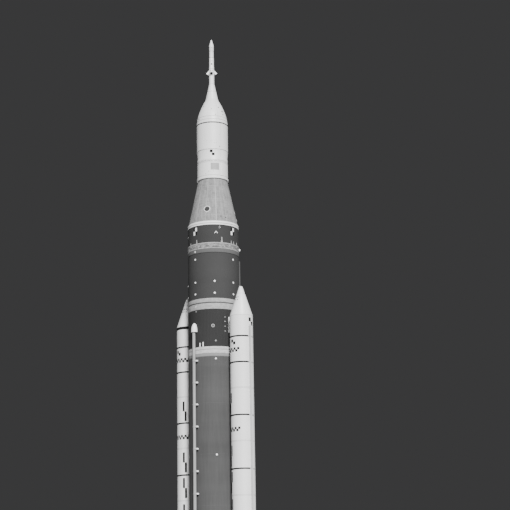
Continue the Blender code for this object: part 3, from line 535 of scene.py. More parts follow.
class Shaper:
    """Collects the faces of one piece in full-size metres."""

    def __init__(self) -> None:
        """Starts an empty piece."""
        self.mesh = bmesh.new()

    def corner(self, x: float, y: float, height: float) -> bmesh.types.BMVert:
        """Returns a new corner of the piece."""
        return self.mesh.verts.new((x * SCALE, y * SCALE, level(height)))

    def face(self, *corners: bmesh.types.BMVert) -> None:
        """Adds a face, without the corners that repeat.

        Args:
            *corners: The corners in order.
        """
        single = list(dict.fromkeys(corners))
        if len(single) > 2:
            self.mesh.faces.new(single)

    def turned(self, profile: Profile, centre: Point = (0.0, 0.0), sides: int = 96,
               loop: bool = False) -> "Shaper":
        """Adds a turned shape.

        Args:
            profile: Points (radius, height) that run down the outer side.
            centre: The upright axis, as X and Y.
            sides: Number of flat sides.
            loop: Whether the profile comes back to its start on the inside.

        Returns:
            The shaper.
        """
        rings = []
        for radius, height in profile:
            count = 1 if radius < 1e-6 else sides
            spots = [polar(360.0 * index / sides, radius) for index in range(count)]
            rings.append([self.corner(centre[0] + x, centre[1] + y, height) for x, y in spots])
        if loop:
            rings.append(rings[0])
        for upper, lower in zip(rings, rings[1:]):
            for index in range(sides):
                here = index % len(upper), index % len(lower)
                after = (index + 1) % len(upper), (index + 1) % len(lower)
                self.face(upper[here[0]], lower[here[1]], lower[after[1]], upper[after[0]])
        return self

    def solid(self, outline: Profile, centre: Point = (0.0, 0.0), sides: int = 96) -> "Shaper":
        """Adds a turned shape with flat ends on its axis."""
        closed = [(0.0, outline[0][1]), *outline, (0.0, outline[-1][1])]
        return self.turned(closed, centre, sides)

    def band(self, radius: float, low: float, high: float, proud: float, centre: Point = (0.0, 0.0),
             sides: int = 96, sunk: float = 0.02) -> "Shaper":
        """Adds a plain ring about an upright axis."""
        edges = [(radius + proud, high), (radius + proud, low), (radius - sunk, low), (radius - sunk, high)]
        return self.turned(edges, centre, sides, loop=True)

    def plate(self, radius_at: RadiusAt, angles: Point, heights: Point, proud: float, sunk: float = 0.01,
              centre: Point = (0.0, 0.0), columns: int = 3, rows: int = 1) -> "Shaper":
        """Adds a plate that follows a turned skin.

        Args:
            radius_at: Radius of the skin at a height.
            angles: First and last angle.
            heights: Lowest and highest height.
            proud: How far the plate stands out of the skin.
            sunk: How far it reaches into the skin.
            centre: The skin's axis, as X and Y.
            columns: Number of cells around.
            rows: Number of cells up.

        Returns:
            The shaper.
        """
        layers = []
        for offset in (-sunk, proud):
            layer = []
            for row in range(rows + 1):
                height = heights[0] + (heights[1] - heights[0]) * row / rows
                radius = radius_at(height) + offset
                steps = [angles[0] + (angles[1] - angles[0]) * column / columns
                         for column in range(columns + 1)]
                spots = [polar(step, radius) for step in steps]
                layer.append([self.corner(centre[0] + x, centre[1] + y, height) for x, y in spots])
            layers.append(layer)
        inner, outer = layers
        for row in range(rows):
            for column in range(columns):
                for layer in layers:
                    self.face(layer[row][column], layer[row][column + 1], layer[row + 1][column + 1],
                              layer[row + 1][column])
            for column in (0, columns):
                self.face(inner[row][column], outer[row][column], outer[row + 1][column],
                          inner[row + 1][column])
        for row in (0, rows):
            for column in range(columns):
                self.face(inner[row][column], inner[row][column + 1], outer[row][column + 1],
                          outer[row][column])
        return self

    def spot(self, radius_at: RadiusAt, angle: float, height: float, size: float, proud: float,
             centre: Point = (0.0, 0.0), sides: int = 12) -> "Shaper":
        """Adds a small round boss that stands square on a turned skin.

        Args:
            radius_at: Radius of the skin at a height.
            angle: Middle of the boss.
            height: Middle of the boss.
            size: Its diameter.
            proud: How far it stands out of the skin.
            centre: The skin's axis, as X and Y.
            sides: Number of flat sides.

        Returns:
            The shaper.
        """
        slope = (radius_at(height + 0.05) - radius_at(height - 0.05)) / 0.1
        out = Vector((*polar(angle, 1.0), -slope)).normalized()
        across = polar(angle, radius_at(height))
        foot = Vector((centre[0] + across[0], centre[1] + across[1], height))
        return self.rod(foot - out * 0.03, foot + out * proud, size / 2, sides=sides)

    def rod(self, start: Sequence[float], end: Sequence[float], radius: float,
            end_radius: Optional[float] = None, sides: int = 16) -> "Shaper":
        """Adds a round bar or cone between two full-size points.

        Args:
            start: Middle of its first end.
            end: Middle of its last end.
            radius: Radius at the first end.
            end_radius: Radius at the last end, where it differs.
            sides: Number of flat sides.

        Returns:
            The shaper.
        """
        first, last = (Vector((x, y, height - FEET_HEIGHT)) * SCALE for x, y, height in (start, end))
        run = last - first
        turn = Matrix.Translation((first + last) / 2) @ run.to_track_quat("Z", "Y").to_matrix().to_4x4()
        bmesh.ops.create_cone(
            self.mesh, cap_ends=True, segments=sides, radius1=radius * SCALE,
            radius2=(radius if end_radius is None else end_radius) * SCALE, depth=run.length, matrix=turn,
        )
        return self

    def box(self, size: Sequence[float], x: float, y: float, height: float, turn: float = 0.0,
            bevel: float = 0.0) -> "Shaper":
        """Adds an upright box turned about Z, with softened edges where a bevel is given.

        Args:
            size: Its sizes along X, Y and Z before the turn.
            x: X of its middle.
            y: Y of its middle.
            height: Height of its middle.
            turn: Angle about Z.
            bevel: Width of the softened edges.

        Returns:
            The shaper.
        """
        place = Matrix.Translation(Vector((x, y, height - FEET_HEIGHT)) * SCALE)
        stretch = Matrix.Diagonal((*[side * SCALE for side in size], 1.0))
        matrix = place @ Matrix.Rotation(math.radians(turn), 4, "Z") @ stretch
        made = bmesh.ops.create_cube(self.mesh, size=1.0, matrix=matrix)
        if bevel:
            edges = list({edge for vert in made["verts"] for edge in vert.link_edges})
            bmesh.ops.bevel(self.mesh, geom=edges, offset=bevel * SCALE, segments=2, affect="EDGES")
        return self

    def ball(self, x: float, y: float, height: float, radius: float) -> "Shaper":
        """Adds a round ball.

        Args:
            x: X of its middle.
            y: Y of its middle.
            height: Height of its middle.
            radius: Its radius.

        Returns:
            The shaper.
        """
        matrix = Matrix.Translation(Vector((x, y, height - FEET_HEIGHT)) * SCALE)
        bmesh.ops.create_uvsphere(self.mesh, u_segments=16, v_segments=10, radius=radius * SCALE,
                                  matrix=matrix)
        return self

    def pipe(self, points: Spots, radius: float, sides: int = 10) -> "Shaper":
        """Adds a pipe with round elbows through full-size points.

        Args:
            points: Points of its middle line.
            radius: Its radius.
            sides: Number of flat sides.

        Returns:
            The shaper.
        """
        for start, end in zip(points, points[1:]):
            self.rod(start, end, radius, sides=sides)
        for point in points[1:-1]:
            self.ball(*point, radius * 1.02)
        return self

    def piece(self, name: str, finish: Finish, body: str = Body.VEHICLE.value, replaces: Sequence[str] = (),
              angle: float = 32.0) -> bpy.types.Object:
        """Makes the collected faces one piece that rides on a body.

        Args:
            name: Name of the piece.
            finish: Its finish.
            body: Name of the body it rides on.
            replaces: Frame nodes that it stands for.
            angle: Edges sharper than this many degrees stay sharp.

        Returns:
            The new object.
        """
        bmesh.ops.recalc_face_normals(self.mesh, faces=self.mesh.faces)
        data = bpy.data.meshes.new(name)
        self.mesh.to_mesh(data)
        self.mesh.free()
        data.shade_smooth()
        data.set_sharp_from_angle(angle=math.radians(angle))
        data.materials.append(finish.material())
        obj = bpy.data.objects.new(name, data)
        bpy.context.scene.collection.objects.link(obj)
        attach(obj, body)
        if replaces:
            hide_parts(*replaces)
        LOG.info("%s: %d faces on %s", name, len(data.polygons), body)
        return obj


@dataclass
class EscapeTower:
    """The launch-escape tower above the spacecraft."""

    tip: float = 98.27
    radius: float = 0.40
    motor_radius: float = 0.43
    nose_base: float = 97.1
    attitude_base: float = 94.9
    jettison_base: float = 92.8
    manifold_base: float = 91.65
    motor_base: float = 90.22
    cone_base: float = 87.17
    cone_radius: float = 1.10
    nozzle_angles: Numbers = (45.0, 135.0, 225.0, 315.0)
    cant: float = 32.0
    nozzle_length: float = 0.95
    throat: float = 0.12
    exit_radius: float = 0.26
    seam: float = 0.003

    def build(self) -> None:
        """Builds the tower from its tip down."""
        self.nose()
        self.motors()
        self.manifold()
        self.cone()

    def nose(self) -> None:
        """Builds the pointed nose and its base ring."""
        shape = Shaper().turned(
            [*arc(0.1, self.tip - 0.1, 180.0, 108.0, 6), (self.radius, self.nose_base + self.seam),
             (0.0, self.nose_base + self.seam)], sides=48)
        shape.piece("escape_nose", Finishes.TOWER, replaces=("tower_nose",))

    def motors(self) -> None:
        """Builds the attitude and jettison motors with their ports and bands."""
        attitude = Shaper().solid(
            [(self.radius, self.nose_base), (self.radius, 96.35), (self.radius - 0.03, 96.3),
             (self.radius - 0.03, self.attitude_base + self.seam)], sides=48)
        attitude.piece("attitude_motor_case", Finishes.TOWER, replaces=("attitude_motor",))
        ports = Shaper()
        for index in range(8):
            ports.spot(lambda height: self.radius - 0.02, 45.0 * index, 96.72, 0.13, 0.025)
        ports.piece("attitude_ports", Finishes.BLACK)
        jettison = Shaper().solid(
            [(self.radius, self.attitude_base), (self.radius, 93.4), (self.motor_radius, 93.2),
             (self.motor_radius, self.jettison_base + self.seam)], sides=48)
        jettison.piece("jettison_motor_case", Finishes.TOWER, replaces=("jettison_motor",))
        nozzles = Shaper()
        for angle in self.nozzle_angles:
            nozzles.spot(lambda height: self.radius, angle + 2.0, 93.75, 0.26, 0.012, sides=16)
        nozzles.piece("jettison_nozzles", Finishes.BLACK)
        bands = Shaper()
        slim, wide = self.radius, self.motor_radius
        for height, radius in ((96.1, slim - 0.03), (94.95, slim), (94.3, slim), (92.86, wide)):
            bands.band(radius, height, height + 0.05, 0.0, sides=48)
        bands.piece("tower_bands", Finishes.SEAM)
        case = Shaper().solid([(wide, self.manifold_base), (wide, self.motor_base + self.seam)], sides=48)
        case.piece("abort_motor_case", Finishes.TOWER, replaces=("abort_motor",))

    def manifold(self) -> None:
        """Builds the manifold with four canted nozzles, black discs in their mouths as painted shade of the
        hollows, and black plates beside them as painted shadow.
        """
        radius = self.motor_radius
        body = Shaper().solid(
            [(radius, self.jettison_base), (radius + 0.05, 92.65), (radius + 0.05, 92.2), (radius, 92.0),
             (radius, self.manifold_base + self.seam)], sides=48)
        painted_exit_shade = Shaper()
        painted_shadow_plates = Shaper()
        for angle in self.nozzle_angles:
            cant = math.radians(self.cant)
            out = Vector((*polar(angle, math.sin(cant)), -math.cos(cant)))
            inner = Vector((*polar(angle, 0.28), 92.72))
            outer = inner + out * self.nozzle_length
            body.rod(inner, outer - out * 0.02, self.throat, self.exit_radius, sides=32)
            # A black disc just inside each nozzle's mouth: painted shade of the hollow that the solid cone
            # leaves out.
            painted_exit_shade.rod(outer - out * 0.05, outer - out * 0.012, self.exit_radius - 0.015, sides=32)
            # Black plates on the manifold beside each nozzle: painted shadow cast by the nozzle, not parts.
            painted_shadow_plates.plate(lambda height: radius + 0.05, (angle - 24.0, angle + 24.0), (92.15, 92.62), 0.004)
        body.piece("abort_manifold_body", Finishes.TOWER, replaces=("abort_manifold",))
        painted_exit_shade.piece("abort_nozzle_painted_exit_shade", Finishes.BLACK)
        painted_shadow_plates.piece("abort_nozzle_shadow_plates", Finishes.BLACK)

    def cone(self) -> None:
        """Builds the cone that carries the tower on the ogive."""
        profile = [(self.motor_radius, self.motor_base), (self.cone_radius - 0.03, self.cone_base + 0.1),
                   (self.cone_radius, self.cone_base + 0.1), (self.cone_radius, self.cone_base + self.seam)]
        Shaper().solid(profile, sides=64).piece("tower_cone", Finishes.TOWER, replaces=("tower_adapter",))
        slope = (self.cone_radius - self.motor_radius) / (self.motor_base - self.cone_base)

        def skin(height: float) -> float:
            """Returns the cone's radius at a height."""
            return self.motor_radius + slope * (self.motor_base - height) - 0.02

        seams = Shaper()
        for height in (90.1, 88.7):
            seams.band(skin(height), height, height + 0.05, 0.022, sides=64)
        for angle in (30.0, 150.0, 270.0):
            seams.plate(skin, (angle - 1.5, angle + 1.5), (87.4, 89.9), 0.026, rows=4)
        seams.piece("tower_cone_seams", Finishes.SEAM)


@dataclass
class Spacecraft:
    """The ogive fairing with its crew hatch, the service fairing and the upper stage."""

    radius: float = 2.615
    ogive_top: float = 87.17
    ogive_top_radius: float = 1.10
    ogive_power: float = 1.78
    fairing_top: float = 82.6
    fairing_base: float = 77.85
    adapter_base: float = 75.8
    waist_radius: float = 2.475
    waist: float = 76.6
    flange_radius: float = 2.535
    stage_radius: float = 2.55
    lip_radius: float = 2.625
    stage_base: float = 72.85
    seam_angles: Numbers = (-130.0, -10.0, 110.0)
    hatch_angle: float = 90.0
    hatch_half_angle: float = 10.4
    hatch_gap_angle: float = 1.2
    hatch_heights: Point = (83.16, 84.24)
    hatch_gap: float = 0.05
    pocket_depth: float = 0.42
    hinge: Sequence[float] = (0.475, 2.5047, 83.7019)
    lean: float = 0.19052
    sides: int = 96
    seam: float = 0.003
    # Small ports, each as its angle, height and size
    ogive_port_spots: Spots = (
        (6.9, 84.8, 0.3), (6.7, 84.2, 0.22), (-9.7, 85.45, 0.2), (-103.6, 83.45, 0.2), (-93.5, 85.8, 0.18),
        (-46.0, 85.1, 0.12), (-30.0, 83.95, 0.14), (115.0, 85.2, 0.16), (170.0, 84.5, 0.16),
        (200.0, 85.6, 0.2), (60.0, 85.6, 0.16))
    fairing_port_spots: Spots = (
        (-65.0, 79.3, 0.1), (-47.0, 79.3, 0.1), (-36.0, 78.9, 0.1), (-28.0, 79.0, 0.1), (-14.0, 80.4, 0.1),
        (100.0, 79.3, 0.1), (135.0, 79.3, 0.1), (180.0, 79.3, 0.1), (215.0, 79.2, 0.1),
        (-16.0, 78.35, 0.22))
    stage_port_spots: Spots = (
        (-70.0, 76.0, 0.1), (-70.0, 73.6, 0.1), (-40.0, 74.0, 0.1), (-58.0, 74.0, 0.1), (120.0, 74.2, 0.1),
        (150.0, 74.2, 0.1))

    def build(self) -> None:
        """Builds the spacecraft from the ogive down."""
        self.ogive()
        self.hatch()
        self.ogive_details()
        self.service_fairing()
        self.adapter()
        self.upper_stage()

    def ogive_radius(self, height: float) -> float:
        """Returns the ogive's radius at a height."""
        rise = min(max((height - self.fairing_top) / (self.ogive_top - self.fairing_top), 0.0), 1.0)
        return self.radius - (self.radius - self.ogive_top_radius) * rise**self.ogive_power

    def ogive(self) -> None:
        """Builds the ogive's skin with the pocket behind the hatch."""
        low, high = self.hatch_heights[0] - self.hatch_gap, self.hatch_heights[1] + self.hatch_gap
        half = self.hatch_half_angle + self.hatch_gap_angle
        first, last = self.hatch_angle - half, self.hatch_angle + half
        tall = self.ogive_top - self.fairing_top
        steps = [self.fairing_top + tall * step / 18 for step in range(1, 18)]
        heights = sorted({self.fairing_top + self.seam, low, high, self.ogive_top, *steps})
        around = [last + (360.0 - 2 * half) * step / self.sides for step in range(self.sides)]
        around += [first + 2 * half * step / 6 for step in range(6)]
        shape = Shaper()
        grids = []
        for inset in (0.0, self.pocket_depth):
            grid = []
            for height in heights:
                spots = [polar(angle, self.ogive_radius(height) - inset) for angle in around]
                grid.append([shape.corner(x, y, height) for x, y in spots])
            grids.append(grid)
        skin, floor = grids
        count = len(around)
        for row in range(len(heights) - 1):
            for column in range(count):
                after = (column + 1) % count
                within = heights[row] >= low - 1e-6 and heights[row + 1] <= high + 1e-6
                inside = column >= self.sides and within
                grid = floor if inside else skin
                shape.face(grid[row][column], grid[row][after], grid[row + 1][after], grid[row + 1][column])
                if not inside:
                    continue
                for edge, beside in ((column, column == self.sides), (after, after == 0)):
                    if beside:
                        shape.face(skin[row][edge], skin[row + 1][edge], floor[row + 1][edge],
                                   floor[row][edge])
                for level_row, height in ((row, low), (row + 1, high)):
                    if abs(heights[level_row] - height) < 1e-6:
                        shape.face(skin[level_row][column], skin[level_row][after], floor[level_row][after],
                                   floor[level_row][column])
        for row in (0, len(heights) - 1):
            middle = shape.corner(0.0, 0.0, heights[row])
            for column in range(count):
                shape.face(skin[row][column], skin[row][(column + 1) % count], middle)
        loose = [vert for vert in shape.mesh.verts if not vert.link_faces]
        bmesh.ops.delete(shape.mesh, geom=loose, context="VERTS")
        shape.piece("ogive_skin", Finishes.FAIRING, replaces=("ogive_fairing",))

    def hinge_spot(self, across: float, up: float, out: float) -> Vector:
        """Returns a full-size point in the hatch hinge's leaning frame.

        Args:
            across: Distance along the model's -X from the hinge line.
            up: Distance up the fairing's slope.
            out: Distance out of the skin.

        Returns:
            The point as X, Y and height.
        """
        tilt = Vector((0.0, -math.sin(self.lean), math.cos(self.lean)))
        away = Vector((0.0, math.cos(self.lean), math.sin(self.lean)))
        return Vector(self.hinge) + Vector((-1.0, 0.0, 0.0)) * across + tilt * up + away * out

    def hatch(self) -> None:
        """Builds the hatch with its rim, window, handle and hinge halves."""
        angles = (self.hatch_angle - self.hatch_half_angle, self.hatch_angle + self.hatch_half_angle)
        body = Body.HATCH.value
        door = Shaper().plate(self.ogive_radius, angles, self.hatch_heights, 0.0, 0.12, columns=12, rows=8)
        fixed = Shaper()
        for sign in (-1.0, 1.0):
            for shape, middle in ((fixed, 0.35), (door, 0.247)):
                start = self.hinge_spot(0.0, sign * middle - 0.05, 0.0)
                end = self.hinge_spot(0.0, sign * middle + 0.05, 0.0)
                shape.rod(start, end, 0.03, sides=16)
            door.rod(self.hinge_spot(0.0, sign * 0.247, -0.02), self.hinge_spot(0.12, sign * 0.247, -0.06),
                     0.025, sides=8)
            fixed.rod(self.hinge_spot(0.0, sign * 0.35, -0.02), self.hinge_spot(-0.12, sign * 0.35, -0.07),
                      0.025, sides=8)
        door.piece("crew_hatch_door", Finishes.FAIRING, body, ("crew_hatch",))
        fixed.piece("hatch_hinge_brackets", Finishes.BRACKET)
        middle = sum(self.hatch_heights) / 2
        rim, edge, inset = Shaper(), 0.6, 0.4
        heights = (self.hatch_heights[0] + 0.03, self.hatch_heights[1] - 0.03)
        for low, high in ((angles[0] + inset, angles[0] + inset + edge),
                          (angles[1] - inset - edge, angles[1] - inset)):
            rim.plate(self.ogive_radius, (low, high), heights, 0.005, rows=8)
        rim.piece("crew_hatch_rim", Finishes.SEAM, body)
        window = Shaper().spot(self.ogive_radius, self.hatch_angle, middle + 0.1, 0.3, 0.012, sides=32)
        window.piece("crew_hatch_window", Finishes.BLACK, body)
        handle = Shaper().plate(self.ogive_radius, (self.hatch_angle + 6.5, self.hatch_angle + 8.0),
                                (middle - 0.2, middle + 0.05), 0.015, rows=3)
        handle.piece("crew_hatch_handle", Finishes.BRACKET, body)

    def ogive_details(self) -> None:
        """Builds the ogive's panel seams, its lower lines, small ports and the dark seam below it."""
        seams = Shaper()
        for height in (83.7, 83.15):
            seams.plate(self.ogive_radius, (-258.0, 78.0), (height, height + 0.06), 0.005, columns=96)
        for angle in (-20.0, 40.0, 160.0, 220.0):
            seams.plate(self.ogive_radius, (angle - 0.35, angle + 0.35), (83.3, 87.0), 0.004, rows=14)
        seams.piece("ogive_seams", Finishes.SEAM)
        ports = Shaper()
        for spot in self.ogive_port_spots:
            ports.spot(self.ogive_radius, *spot, 0.008)
        ports.piece("ogive_ports", Finishes.BLACK)
        dark = Shaper().band(self.radius, self.fairing_top - 0.14, self.fairing_top + 0.06, 0.001,
                             sunk=0.02)
        dark.piece("separation_seam", Finishes.BLACK)
        straps = Shaper()
        for index in range(36):
            straps.plate(lambda height: self.radius, (index * 10.0 - 0.7, index * 10.0 + 0.7),
                         (self.fairing_top - 0.15, self.fairing_top + 0.07), 0.003, sunk=0.03)
        straps.piece("separation_seam_covers", Finishes.SEAM)

    def service_fairing(self) -> None:
        """Builds the service fairing with its seams and small ports."""
        outline = [(self.radius, self.fairing_top), (self.radius, self.fairing_base + self.seam)]
        shape = Shaper().solid(outline, sides=self.sides)
        shape.piece("service_fairing_skin", Finishes.FAIRING, replaces=("service_fairing",))

        def skin(height: float) -> float:
            """Returns the fairing's radius, a little inside its skin."""
            return self.radius - 0.002

        seams = Shaper()
        heights = (self.fairing_base + 0.05, self.fairing_top - 0.12)
        for angle in self.seam_angles:
            seams.plate(skin, (angle - 0.3, angle + 0.3), heights, 0.002, rows=6)
        seams.band(self.radius - 0.002, self.fairing_base, self.fairing_base + 0.07, 0.002)
        seams.piece("service_fairing_seams", Finishes.SEAM)
        dots = Shaper()
        for spot in self.fairing_port_spots:
            dots.spot(skin, *spot, 0.002)
        dots.piece("service_fairing_ports", Finishes.PLATE)

    def adapter_radius(self, height: float) -> float:
        """Returns the tapered adapter's radius at a height."""
        share = (self.fairing_base - height) / (self.fairing_base - self.waist)
        return self.radius - 0.02 - (self.radius - 0.02 - self.waist_radius) * share

    def adapter(self) -> None:
        """Builds the tapered adapter, its flange and the two dark squares."""
        profile = [(self.radius - 0.02, self.fairing_base), (self.waist_radius, self.waist),
                   (self.flange_radius, 76.45), (self.flange_radius, self.adapter_base + self.seam)]
        shape = Shaper().solid(profile, sides=self.sides)
        shape.piece("spacecraft_adapter_skin", Finishes.FAIRING, replaces=("spacecraft_adapter",))
        squares = Shaper()
        half = math.degrees(0.24 / self.radius)
        for angle, height in ((-47.5, 77.5), (132.5, 77.5), (-40.0, 76.98), (140.0, 76.98)):
            heights = (height - 0.22, height + 0.22)
            squares.plate(self.adapter_radius, (angle - half, angle + half), heights, 0.006, rows=2)
        squares.piece("dark_squares", Finishes.BLACK)
        line = Shaper().band(self.flange_radius, 76.0, 76.05, 0.0)
        line.band(self.flange_radius, self.adapter_base, self.adapter_base + 0.08, 0.0)
        heights = (76.62, self.fairing_base - 0.02)
        for angle in (*self.seam_angles, 170.0):
            line.plate(self.adapter_radius, (angle - 0.3, angle + 0.3), heights, 0.004, rows=2)
        line.piece("adapter_flange_lines", Finishes.SEAM)
        bolts = Shaper()
        for index in range(48):
            bolts.spot(lambda height: 2.51, 7.5 * index + 3.0, 76.2, 0.08, 0.024, sides=6)
        bolts.piece("adapter_flange_bolts", Finishes.BRACKET)

    def upper_stage(self) -> None:
        """Builds the upper stage's skin with its lower lip, blank plate and fittings."""
        profile = [(self.stage_radius, self.adapter_base), (self.stage_radius, 73.3),
                   (self.lip_radius, 73.2), (self.lip_radius, self.stage_base + self.seam)]
        shape = Shaper().solid(profile, sides=self.sides)
        shape.piece("upper_stage_skin", Finishes.UPPER, replaces=("upper_stage",))

        def skin(height: float) -> float:
            """Returns the stage's radius."""
            return self.stage_radius

        plate = Shaper().plate(skin, (-50.0, -18.0), (74.25, 75.45), 0.006, columns=8)
        plate.piece("blank_plate", Finishes.PLATE)
        strips = Shaper()
        for angle in (-7.0, 110.0, 200.0):
            strips.plate(skin, (angle - 1.6, angle + 1.6), (73.4, 75.6), 0.05)
        strips.piece("cable_strips", Finishes.WHITE_MARK)
        dots = Shaper()
        for spot in self.stage_port_spots:
            dots.spot(skin, *spot, 0.01)
        dots.piece("upper_stage_ports", Finishes.SKIRT)
        lines = Shaper()
        lines.band(self.stage_radius, 75.62, 75.66, 0.004).band(self.stage_radius, 73.32, 73.38, 0.01)
        lines.piece("upper_stage_lines", Finishes.SEAM)


@dataclass
class StageAdapter:
    """The conical adapter between the core and the upper stage."""

    top: float = 72.85
    top_radius: float = 2.425
    cone_base: float = 65.0
    cone_radius: float = 4.1
    ring_radius: float = 4.2
    base: float = 64.4
    seam_count: int = 14
    first_seam: float = -61.0
    port_height: float = 67.2
    port_angles: Point = (-58.5, 121.5)
    seam: float = 0.003
    sides: int = 120

    def radius_at(self, height: float) -> float:
        """Returns the cone's radius at a height."""
        share = (self.top - height) / (self.top - self.cone_base)
        return self.top_radius + (self.cone_radius - self.top_radius) * share

    def build(self) -> None:
        """Builds the cone with its pale ring, seams and ports."""
        profile = [(self.top_radius, self.top), (self.cone_radius, self.cone_base),
                   (self.ring_radius, self.cone_base), (self.ring_radius, self.base + self.seam)]
        cone = Shaper().solid(profile, sides=self.sides)
        cone.piece("stage_adapter_skin", Finishes.ADAPTER, replaces=("stage_adapter",))
        self.ring()
        self.seams()
        self.ports()

    def ring(self) -> None:
        """Builds the bright base ring in two steps with a groove between them."""
        ring = Shaper()
        proud = self.ring_radius + 0.006
        for high, low in ((self.cone_base + 0.06, 64.72), (64.68, self.base + self.seam)):
            outline = [(self.cone_radius - 0.06, high), (proud - 0.04, high - 0.02), (proud, high - 0.07),
                       (proud, low + 0.04), (proud - 0.004, low), (self.cone_radius - 0.1, low)]
            ring.turned(outline, sides=self.sides, loop=True)
        ring.piece("stage_adapter_ring", Finishes.WHITE_MARK)
        groove = Shaper().band(self.ring_radius - 0.002, 64.68, 64.72, 0.004, sides=self.sides)
        groove.piece("stage_adapter_groove", Finishes.PALE_SEAM)

    def seams(self) -> None:
        """Builds the upright and level seams between the cone's panels."""
        seams = Shaper()
        for index in range(self.seam_count):
            angle = self.first_seam + 360.0 / self.seam_count * index
            width = 0.9 if index % 2 else 0.6
            seams.plate(self.radius_at, (angle - width, angle + width),
                        (self.cone_base + 0.1, self.top - 0.05), 0.006, columns=2, rows=10)
        for height in (71.4, 69.0, 66.1):
            seams.band(self.radius_at(height) - 0.01, height, height + 0.05, 0.014, sides=self.sides)
        seams.piece("stage_adapter_seams", Finishes.PALE_SEAM)

    def ports(self) -> None:
        """Builds the round access ports, the small ports and the raised covers."""
        rims = Shaper()
        holes = Shaper()
        for angle in self.port_angles:
            rims.spot(self.radius_at, angle, self.port_height, 1.06, 0.05, sides=40)
            holes.spot(self.radius_at, angle, self.port_height, 0.9, 0.06, sides=40)
        for angle, height in ((-11.5, 65.75), (-24.0, 65.9), (60.0, 66.4), (160.0, 66.4)):
            holes.spot(self.radius_at, angle, height, 0.2, 0.02)
        rims.piece("access_port_rims", Finishes.WHITE_MARK)
        holes.piece("access_port_covers", Finishes.SKIRT)
        covers = Shaper()
        for angle, height in ((36.0, 67.2), (40.0, 66.0), (-150.0, 67.4), (150.0, 67.4)):
            covers.plate(self.radius_at, (angle - 1.4, angle + 1.4), (height - 0.2, height + 0.2), 0.07)
        covers.piece("raised_covers", Finishes.ADAPTER)


